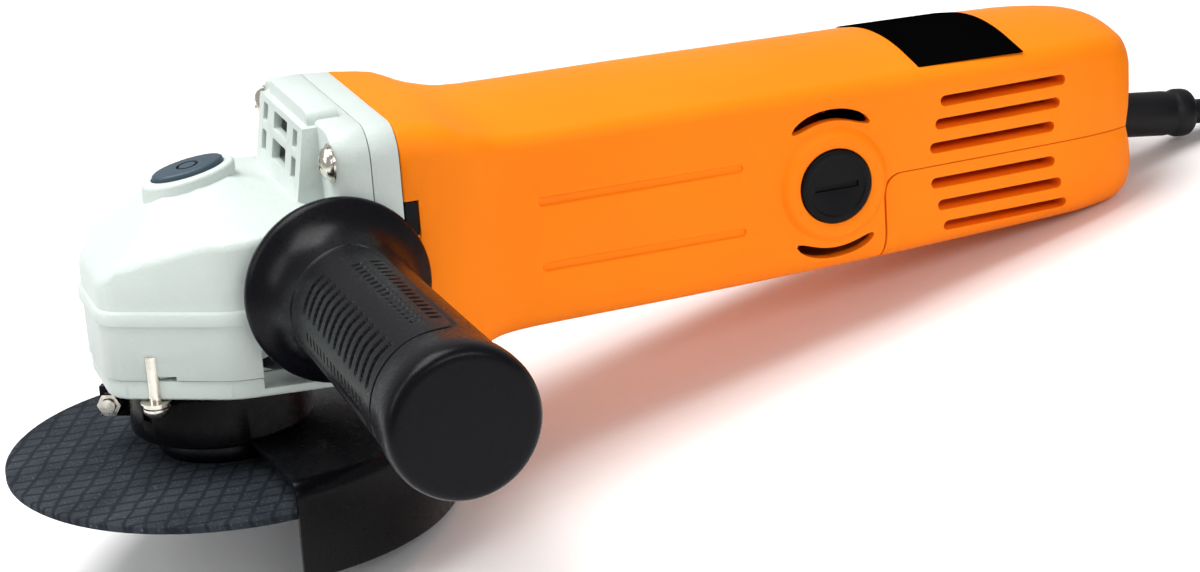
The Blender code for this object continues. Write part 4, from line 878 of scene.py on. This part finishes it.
def side_grooves():
    """Two long shallow grooves on each side of the barrel."""
    grooves = []
    for side in (-1, 1):
        for z in (-8.73, 8.73):
            loops = []
            for depth, grow in ((31.0, -0.35), (31.9, 0.15), (36.0, 1.6)):
                outline = plate((80.7 - grow, 137.5 + grow), (z - 1.25 - grow, z + 1.25 + grow),
                                1.2 + grow, 6)
                loops.append([(x, side * depth, q) for x, q in outline])
            grooves.append(skin(loops))
    return grooves


def cover_space(gap, tail):
    """Room for the rear cover: below the middle line, behind its rounded front edge."""
    front = 178.0 - gap
    top = gap / 2
    outline = [*tail, (254.7, top)]
    for step in range(7):
        a = pi / 2 * step / 6
        outline.append((front + 5.0 - 5.0 * sin(a), top - 5.0 + 5.0 * cos(a)))
    outline.append((front, -50.0))
    return prism("Y", outline, -50.0, 50.0)


def gland_hole():
    return cylinder("X", 6.9, 248.0, 270.0, (0.0, 0.0, -3.8), 48)


def brush_boss(side):
    """The raised ring round a brush cap, faired into the housing's side."""
    profile = [(0.0, side * 28.9), (17.0, side * 28.9), (15.6, side * 31.0),
               (14.6, side * 32.0), (13.9, side * 32.8), (13.2, side * 33.1),
               (11.0, side * 33.1), (10.6, side * 32.9), (0.0, side * 32.9)]
    return turned("Y", profile, 72, (BRUSH_X, 0.0, 0.0))


def build_body():
    housing = placed("orange_housing", *body_cup())
    split(housing.data)
    cover = housing.copy()
    cover.data = housing.data.copy()
    cover.name = "orange_cover"
    bpy.context.collection.objects.link(cover)
    for side in (-1, 1):
        carve(housing, [brush_boss(side)], "UNION")
    for side, inner in SLOT_BACKINGS:
        carve(housing, [slot_backing(side, 1, inner)], "UNION")
    upper_tail = [(280.0, -50.0), (280.0, 21.3), (262.0, 21.3), (258.2, 14.3)]
    carve(housing, [cover_space(0.3, upper_tail)])
    bores = [cylinder("Y", 10.3, *sorted((side * 24.0, side * 40.0)), (BRUSH_X, 0.0, 0.0), 64)
             for side in (-1, 1)]
    bores += [arc_slot(middle, ends) for middle in (pi / 2, -pi / 2)
              for ends in ((-36.0, -24.0), (24.0, 36.0))]
    bores += side_slots((17.45, 11.3, 4.9))
    bores.append(block((84.0, 104.0), (26.0, 36.0), (12.7, 17.3)))
    bores += [cylinder("X", 2.3, 40.0, 52.4, (0.0, y, z), 16) for y, z in CASE_SCREWS]
    bores.append(gland_hole())
    carve(housing, bores)
    carve(housing, side_grooves())
    tab_seat = block((43.0, 48.0), (-40.0, -33.0), (7.0, 16.2))
    carve(housing, [tab_seat])
    soften(housing, 0.3, 44.0)
    finish(housing, "housing", "orange_plastic", ORANGE, "motor_housing")
    tab = placed("seam_tab", *skin([
        [(44.5, y, z) for y, z in ((-36.4, 8.6), (-36.4, 15.9), (-33.4, 15.9), (-33.4, 8.6))],
        [(47.6, y, z) for y, z in ((-36.3, 7.4), (-36.3, 15.7), (-33.4, 15.7), (-33.4, 7.4))],
    ]))
    finish(tab, "housing", "black_plastic", BLACK)
    lower_tail = [(262.0, -50.0), (262.0, -14.0), (257.4, -10.0)]
    carve(cover, [cover_space(-0.3, lower_tail)], "INTERSECT")
    for side, inner in SLOT_BACKINGS:
        carve(cover, [slot_backing(side, -1, inner)], "UNION")
    carve(cover, [*side_slots((-17.45, -11.3, -4.9)),
                  gland_hole()])
    posts = [cylinder("Z", 3.4, -23.4, -1.0, (x, 0.0, 0.0), 24) for x in COVER_SCREWS_X]
    carve(cover, posts, "UNION")
    bore = [(0.0, 1.0), (1.6, 1.0), (1.6, -21.0), (3.2, -21.0), (3.2, -40.0), (0.0, -40.0)]
    carve(cover, [turned("Z", bore, 24, (x, 0.0, 0.0)) for x in COVER_SCREWS_X])
    soften(cover, 0.3, 44.0)
    finish(cover, "housing", "orange_plastic", ORANGE, "rear_cover")


def build_caps():
    """The brush caps, each with a driver slot."""
    for name, side in (("left", -1), ("right", 1)):
        profile = [(0.0, side * 30.2), (10.0, side * 30.2), (10.0, side * 33.0),
                   (9.8, side * 33.4), (9.3, side * 33.6), (8.2, side * 33.6),
                   (7.9, side * 33.3), (0.0, side * 33.3)]
        cap = placed(f"cap_{name}", *turned("Y", profile, SIDES, (BRUSH_X, 0.0, 0.0)))
        ends = sorted((side * 32.4, side * 36.0))
        carve(cap, [block((BRUSH_X - 6.2, BRUSH_X + 6.2), ends, (-0.8, 0.8))])
        soften(cap, 0.15, 44.0)
        finish(cap, "housing", "black_plastic", BLACK, f"brush_cap_{name}")


def crown_drop(y, half, rise):
    """How far the crowned top lies below its middle at y."""
    knee, crown = crown_arc(half, rise)
    if abs(y) < 2 * knee:
        return crown - sqrt(crown * crown - y * y)
    return rise * (abs(y) - knee) / (half - knee)


LABEL_HALF_WIDTH = 26.6


def build_top_plate():
    """A plain plate over the housing's top, from one shoulder to the other."""
    loops = []
    for step in range(9):
        x = 191.0 + 31.0 * step / 8
        half, top, _, _, rise = station(x)
        rims = []
        for lift in (0.35, 0.05):
            rim = []
            for share in range(25):
                y = LABEL_HALF_WIDTH * (1.0 - share / 12.0)
                rim.append((x, y, top - crown_drop(y, half, rise) + lift))
            rims.append(rim)
        loops.append(rims[0] + rims[1][::-1])
    sheet = placed("plain_label", *skin(loops))
    finish(sheet, "housing", "black_plastic", LABEL, "top_plate")


def build_switch_knob():
    middle = 98.0
    loops = []
    for grow, y in ((0.0, 32.3), (0.0, 34.4), (-0.5, 35.0), (-1.2, 35.2)):
        loops.append([(x, y, z) for x, z in plate((84.0 - grow, 112.0 + grow),
                                                 (7.5 - grow, 22.5 + grow), 4.0, 6)])
    knob = placed("slide_knob", *skin(loops))
    carve(knob, [block((middle - 5.0, middle + 5.0), (28.2, 33.0), (13.2, 16.8))], "UNION")
    ribs = [block((x - 0.9, x + 0.9), (34.0, 36.4), (10.0, 20.0))
            for x in (middle - 6.0, middle - 2.0, middle + 2.0, middle + 6.0)]
    carve(knob, ribs, "UNION")
    soften(knob, 0.3, 44.0)
    finish(knob, "switch", "black_plastic", BLACK, "switch_knob")


# The side handle.

HANDLE_PROFILE = (
    (22.4, 0.0), (23.3, 0.25), (23.8, 0.8), (23.9, 1.5), (23.9, 2.6), (23.6, 3.3), (22.9, 4.0),
    (21.4, 5.2), (19.8, 6.7), (18.5, 8.6), (17.5, 10.8), (16.8, 13.0), (16.4, 15.2),
    (16.2, 17.0), (16.0, 20.0), (16.0, 24.0), (16.2, 40.0), (16.5, 60.0), (16.8, 80.0),
    (17.0, 90.0), (17.2, 94.0), (17.5, 97.0), (17.8, 99.5), (18.0, 102.0), (18.0, 105.0),
    (17.7, 106.8), (17.0, 107.9), (15.9, 108.4), (14.6, 108.5),
)
GRIP_MIDDLES = (139.0, 319.0)
GRIP_HALF = 66.0
GRIP_ENDS = (17.6, 91.2)
GROOVE_COUNT = 13
GROOVE_FIRST = 27.2
GROOVE_STEP = 4.86
TEETH_TURNS = (-57.0, -41.0, 41.0, 57.0)
TEETH_STEP = 3.25
TEETH_COUNT = 16


def profile_radius(along):
    for (r0, a0), (r1, a1) in zip(HANDLE_PROFILE, HANDLE_PROFILE[1:]):
        if along <= a1:
            return r0 + (r1 - r0) * (along - a0) / max(a1 - a0, 1e-6)
    return HANDLE_PROFILE[-1][0]


def dip(distance, half, depth):
    """A round-bottomed groove's depth at a distance from its middle line."""
    return depth * sqrt(1 - (distance / half) ** 2) if distance < half else 0.0


def grip_relief(turn, along, radius):
    """How far the grip's pattern sinks below the handle's plain surface, in millimetres."""
    sunk = 0.0
    for middle in GRIP_MIDDLES:
        across = (turn - middle + 180.0) % 360.0 - 180.0
        wide = radians(abs(across)) * radius
        edge = radians(GRIP_HALF) * radius
        half_long = (GRIP_ENDS[1] - GRIP_ENDS[0]) / 2
        centre = (GRIP_ENDS[1] + GRIP_ENDS[0]) / 2
        corner = 5.0
        p = max(abs(along - centre) - (half_long - corner), 0.0)
        q = max(wide - (edge - corner), 0.0)
        inside = max(abs(along - centre) - half_long, wide - edge)
        if p > 0.0 and q > 0.0:
            inside = hypot(p, q) - corner
        sunk = max(sunk, dip(abs(inside), 0.55, 0.5))
        if inside > 0.0:
            continue
        bow = 0.055 * max(abs(across) - 2.0, 0.0)
        if abs(across - 5.0) < 19.5:
            nearest = round((along - GROOVE_FIRST - bow) / GROOVE_STEP)
            if 0 <= nearest < GROOVE_COUNT:
                place = GROOVE_FIRST + GROOVE_STEP * nearest + bow
                end = min(1.0, (19.5 - abs(across - 5.0)) / 4.0)
                sunk = max(sunk, dip(abs(along - place), 0.95, 0.85 * sqrt(end)))
        for row in TEETH_TURNS:
            off = abs(across - row)
            if off < 4.6:
                nearest = round((along - 33.0) / TEETH_STEP)
                if 0 <= nearest < TEETH_COUNT:
                    place = 33.0 + TEETH_STEP * nearest
                    end = min(1.0, (4.6 - off) / 1.6)
                    sunk = max(sunk, dip(abs(along - place), 0.62, 0.5 * sqrt(end)))
    return sunk


def build_handle():
    """The handle turned round -Y, its grip pattern pressed into a fine grid."""
    stations = [along for _, along in HANDLE_PROFILE]
    fine = [GRIP_ENDS[0] - 1.2 + 0.27 * step for step in range(283)]
    stations = sorted(set([a for a in stations if a < fine[0] or a > fine[-1]] + fine))
    sides = 288
    loops = [[on_axis("Y", 4.3, 2 * pi * step / sides, HANDLE_FACE_Y - along,
                      (HANDLE_X, 0.0, HANDLE_Z)) for step in range(sides)]
             for along in (16.0, 0.0)]
    for along in stations:
        radius = profile_radius(along)
        patterned = fine[0] <= along <= fine[-1]
        loop = []
        for step in range(sides):
            turn = 360.0 * step / sides
            sunk = grip_relief(turn, along, radius) if patterned else 0.0
            loop.append(on_axis("Y", radius - sunk, radians(turn), HANDLE_FACE_Y - along,
                                (HANDLE_X, 0.0, HANDLE_Z)))
        loops.append(loop)
    points, faces = skin(loops, caps=False)
    faces.append(tuple(range(sides)))
    faces.append(tuple(range(len(points) - sides, len(points))))
    grip = placed("grip", points, faces, smooth=50.0)
    finish(grip, "housing", "handle_grip", GRIP, "side_handle")


# The gland and the lead.


GLAND_START_X = 250.5
GLAND_BEND_X = 259.5
GLAND_LENGTH = 37.5
GLAND_DROOP = 6.0
COIL_RADII = (44.0, 37.0, 37.0, 44.0, 44.0, 37.0, 37.0, 44.0)
COIL_MIDDLE = 40.5
COIL_LIFT = 1.6
COIL_FIRST = 300.0
COIL_STEP = 50.0
COIL_LOOP = 310.0
COIL_END = 2375.0
PLUG_Z = 39.0


def gland_point(distance):
    x = GLAND_START_X + distance
    past = max(x - GLAND_BEND_X, 0.0)
    return (x, -3.6 - tan(radians(GLAND_DROOP)) * past)


def build_gland():
    """The sleeve, with a collar near its free end."""
    stops = [(0.0, 6.2), (8.0, 6.2), (12.0, 6.3), (20.0, 6.35), (29.0, 6.4), (30.6, 6.2),
             (31.4, 6.2), (32.0, 6.6), (33.0, 6.85), (35.2, 6.85), (36.4, 6.6), (37.1, 6.1),
             (GLAND_LENGTH, 5.4)]
    loops = []
    for distance, radius in stops:
        x, z = gland_point(distance)
        lean = radians(GLAND_DROOP) if x > GLAND_BEND_X else 0.0
        loops.append([(x + radius * sin(a) * sin(lean), radius * cos(a),
                       z + radius * sin(a) * cos(lean))
                      for a in (2 * pi * step / 48 for step in range(48))])
    sleeve = placed("sleeve", *skin(loops))
    finish(sleeve, "housing", "rubber", RUBBER, "strain_relief")
    return sleeve


def on_bench(point):
    x, z = point
    return Vector((REST_SHIFT[0] + x * cos(TILT) + z * sin(TILT), REST_SHIFT[1],
                   REST_SHIFT[2] - x * sin(TILT) + z * cos(TILT)))


def coil_state(turned_by):
    """The coil's radius and height after a turn of so many degrees."""
    change = (turned_by - COIL_FIRST) / COIL_LOOP
    index = int(max(change + 1.0, 0.0))
    index = min(index, len(COIL_RADII) - 1)
    start = COIL_FIRST + COIL_LOOP * (index - 1)
    share = eased((turned_by - start) / COIL_STEP) if index else 1.0
    before = max(index - 1, 0)
    heights = [COIL_LIFT + CORD_RADIUS + 2 * CORD_RADIUS * (k // 2) for k in range(8)]
    radius = COIL_RADII[before] + (COIL_RADII[index] - COIL_RADII[before]) * share
    height = heights[before] + (heights[index] - heights[before]) * share
    return radius, height


def lead_route():
    """The cord's points in millimetres: down to the bench, round the coil, up to the plug."""
    start = on_bench(gland_point(GLAND_LENGTH + 0.3))
    centre = on_bench(gland_point(GLAND_LENGTH)) + Vector((62.0, -43.0, 0.0))
    centre.z = 0.0
    far_y = centre.y + 44.0
    rest = CORD_RADIUS + 0.1
    route = [
        start, start + Vector((4.0, 0.0, -1.3)),
        Vector((start.x + 9.0, start.y - 0.1, start.z - 2.4)),
        Vector((start.x + 16.0, start.y + 0.1, rest + 0.2)),
        Vector((start.x + 24.0, start.y + 0.6, rest)),
        Vector((start.x + 33.0, far_y + 0.4, rest + 0.1)),
        Vector((start.x + 42.0, far_y + 0.2, rest + 0.4)),
        Vector((start.x + 51.0, far_y, rest + 0.9)),
    ]
    step = 15.0
    turned_by = 0.0
    while turned_by <= COIL_END:
        radius, height = coil_state(turned_by)
        a = radians(90.0 - turned_by)
        ramp = 0.6 * max(0.0, 1.0 - turned_by / 30.0)
        route.append(centre + Vector((radius * cos(a), radius * sin(a), height - ramp)))
        turned_by += step
    low = route[-1].z
    leaving = [(-39.5, -20.5, 0.10), (-46.5, -10.0, 0.28), (-51.5, 0.5, 0.52),
               (-52.8, 11.0, 0.74), (-49.5, 21.0, 0.90), (-43.0, 29.0, 0.98),
               (-35.0, 34.3, 1.0), (-26.6, 36.5, 1.0)]
    for x, y, share in leaving:
        route.append(centre + Vector((x, y, low + (PLUG_Z - low) * share)))
    return route, centre


def build_lead(sleeve):
    route, centre = lead_route()
    curve = bpy.data.curves.new("lead", "CURVE")
    curve.dimensions = "3D"
    curve.resolution_u = 4
    curve.bevel_depth = CORD_RADIUS * MM
    curve.bevel_resolution = 5
    curve.use_fill_caps = True
    path = curve.splines.new("POLY")
    path.points.add(len(route) - 1)
    for spot, point in zip(path.points, route):
        spot.co = (*(point * MM), 1.0)
    lead = bpy.data.objects.new("lead", curve)
    bpy.context.collection.objects.link(lead)
    finish(lead, "housing", "rubber", RUBBER, "cord", "cord_coil")
    tie = build_tie(centre)
    plug = build_plug(centre)


def build_tie(centre):
    x, y = centre.x, centre.y
    inner = COIL_MIDDLE - 2 * CORD_RADIUS
    outer = COIL_MIDDLE + 2 * CORD_RADIUS
    top = COIL_LIFT + 28.0
    rims = [
        plate((-outer - grow, 0.6 - inner + grow), (COIL_LIFT - grow, top + grow), 2.0, 4)
        for grow in (0.3, 1.5)
    ]
    loops = [[(x + side, y + q, z) for q, z in rim] for rim, side in (
        (rims[0], -4.5), (rims[0], 4.5), (rims[1], 4.5), (rims[1], -4.5))]
    tie = placed("tie", *skin(loops, ring=True), BENCH)
    return finish(tie, "housing", "black_plastic", BLACK, "cord_tie")


def build_plug(centre):
    """A moulded plug with two round pins, on top of the coil."""
    x = centre.x
    z = PLUG_Z
    y = centre.y + 36.5
    profile = [(0.0, x - 26.0), (4.2, x - 26.0), (4.6, x - 25.6), (4.9, x - 20.0),
               (5.4, x - 12.0), (6.6, x - 9.0), (8.6, x - 6.0), (9.0, x - 4.0), (9.0, x + 15.0),
               (8.6, x + 17.4), (8.0, x + 18.0), (0.0, x + 18.0)]
    plug = placed("mains_plug", *turned("X", profile, 48, (0.0, y, z)), BENCH)
    finish(plug, "housing", "rubber", RUBBER, "plug")
    for index, offset in enumerate((-4.6, 4.6), 1):
        pin = placed(f"plug_pin_{index}", *turned("X", [
            (0.0, x + 16.0), (2.2, x + 16.0), (2.2, x + 35.0), (1.6, x + 35.9), (0.0, x + 36.0)
        ], 24, (0.0, y + offset, z)), BENCH)
        finish(pin, "housing", "bright_steel", NICKEL)
        pin.parent = plug
        pin.matrix_parent_inverse = plug.matrix_world.inverted()
    return plug


# The pieces that stay as they are in the CAD model, each with its own material.

CAD_LOOKS = {
    "bevel_gear": STEEL, "pinion": STEEL, "handle_stud": STEEL, "armature_shaft": STEEL,
    "guard_clamp_screw": NICKEL, "guard_clamp_nut": NICKEL, "spindle_bearing": NICKEL,
    "front_bearing": NICKEL, "rear_bearing": NICKEL, "lock_spring": NICKEL,
    "brush_spring_left": NICKEL, "brush_spring_right": NICKEL, "cover_screw_1": NICKEL,
    "cover_screw_2": NICKEL, "spindle_top_bush": BRASS, "brush_holder_left": BRASS,
    "brush_holder_right": BRASS, "commutator": COPPER, "armature_winding_front": COPPER,
    "armature_winding_rear": COPPER, "field_coil_upper": COPPER, "field_coil_lower": COPPER,
    "armature_core": SHEETS, "stator_core": SHEETS, "carbon_brush_left": CARBON,
    "carbon_brush_right": CARBON, "grease_seal": FELT, "cooling_fan": BLACK,
    "rear_bearing_holder": BLACK, "switch_body": BLACK, "switch_rod": BLACK,
}


def paint_cad():
    for name, material in CAD_LOOKS.items():
        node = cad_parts[name]
        node.data.materials.clear()
        node.data.materials.append(material)


# The stage.

CAMERA_TURN = -18.65
CAMERA_RISE = 18.38
CAMERA_ROLL = -4.03
CAMERA_SHIFT = (-101.68, 8.16, -764.69)
FOCAL_PIXELS = 2971.39
IMAGE_WIDTH = 1200
SENSOR_WIDTH = 36.0


def build_camera():
    turn, rise, roll = (radians(a) for a in (CAMERA_TURN, CAMERA_RISE, CAMERA_ROLL))
    back = Vector((sin(turn) * cos(rise), -cos(turn) * cos(rise), sin(rise)))
    right = Vector((cos(turn), sin(turn), 0.0))
    up = back.cross(right)
    rows = Matrix((right, up, back))
    rolled = Matrix(((cos(roll), sin(roll), 0.0), (-sin(roll), cos(roll), 0.0),
                     (0.0, 0.0, 1.0))) @ rows
    spot = -(rolled.transposed() @ Vector(CAMERA_SHIFT)) * MM
    pose = rolled.transposed().to_4x4()
    pose.translation = spot
    data = bpy.data.cameras.new("camera")
    data.sensor_width = SENSOR_WIDTH
    data.lens = FOCAL_PIXELS / IMAGE_WIDTH * SENSOR_WIDTH
    data.clip_start = 0.01
    bpy.context.scene.view_settings.view_transform = "Standard"
    camera = bpy.data.objects.new("camera", data)
    camera.matrix_world = TOOL @ pose
    bpy.context.collection.objects.link(camera)
    bpy.context.scene.camera = camera


def area_light(name, spot, aim, size, power):
    data = bpy.data.lights.new(name, "AREA")
    data.shape = "RECTANGLE"
    data.size, data.size_y = size
    data.energy = power
    light = bpy.data.objects.new(name, data)
    light.location = spot
    light.rotation_euler = (Vector(aim) - Vector(spot)).to_track_quat("-Z", "Y").to_euler()
    bpy.context.collection.objects.link(light)


def build_stage():
    mesh = bpy.data.meshes.new("floor")
    mesh.from_pydata([(-30.0, -30.0, 0.0), (30.0, -30.0, 0.0), (30.0, 30.0, 0.0),
                      (-30.0, 30.0, 0.0)], [], [(0, 1, 2, 3)])
    floor = bpy.data.objects.new("floor", mesh)
    bpy.context.collection.objects.link(floor)
    white = bpy.data.materials.new("floor_white")
    white.use_nodes = True
    shader = white.node_tree.nodes["Principled BSDF"]
    shader.inputs["Base Color"].default_value = (0.93, 0.93, 0.93, 1.0)
    shader.inputs["Roughness"].default_value = 0.7
    mesh.materials.append(white)
    world = bpy.data.worlds.new("studio")
    bpy.context.scene.world = world
    world.use_nodes = True
    sky = world.node_tree.nodes["Background"]
    sky.inputs["Color"].default_value = (1.0, 1.0, 1.0, 1.0)
    sky.inputs["Strength"].default_value = 0.42
    area_light("top", (-0.15, 0.15, 1.1), (0.0, 0.0, 0.05), (0.9, 0.7), 15.0)
    area_light("front", (-0.95, 0.05, 0.75), (-0.05, -0.02, 0.06), (0.5, 0.6), 3.0)
    area_light("near", (0.35, -1.1, 0.7), (0.05, 0.0, 0.06), (0.8, 0.35), 5.0)


def main():
    build_gear_head()
    build_bracket_and_box()
    build_button()
    build_disc()
    build_guard()
    build_body()
    build_caps()
    build_top_plate()
    build_switch_knob()
    build_handle()
    build_lead(build_gland())
    paint_cad()
    build_stage()
    build_camera()


main()
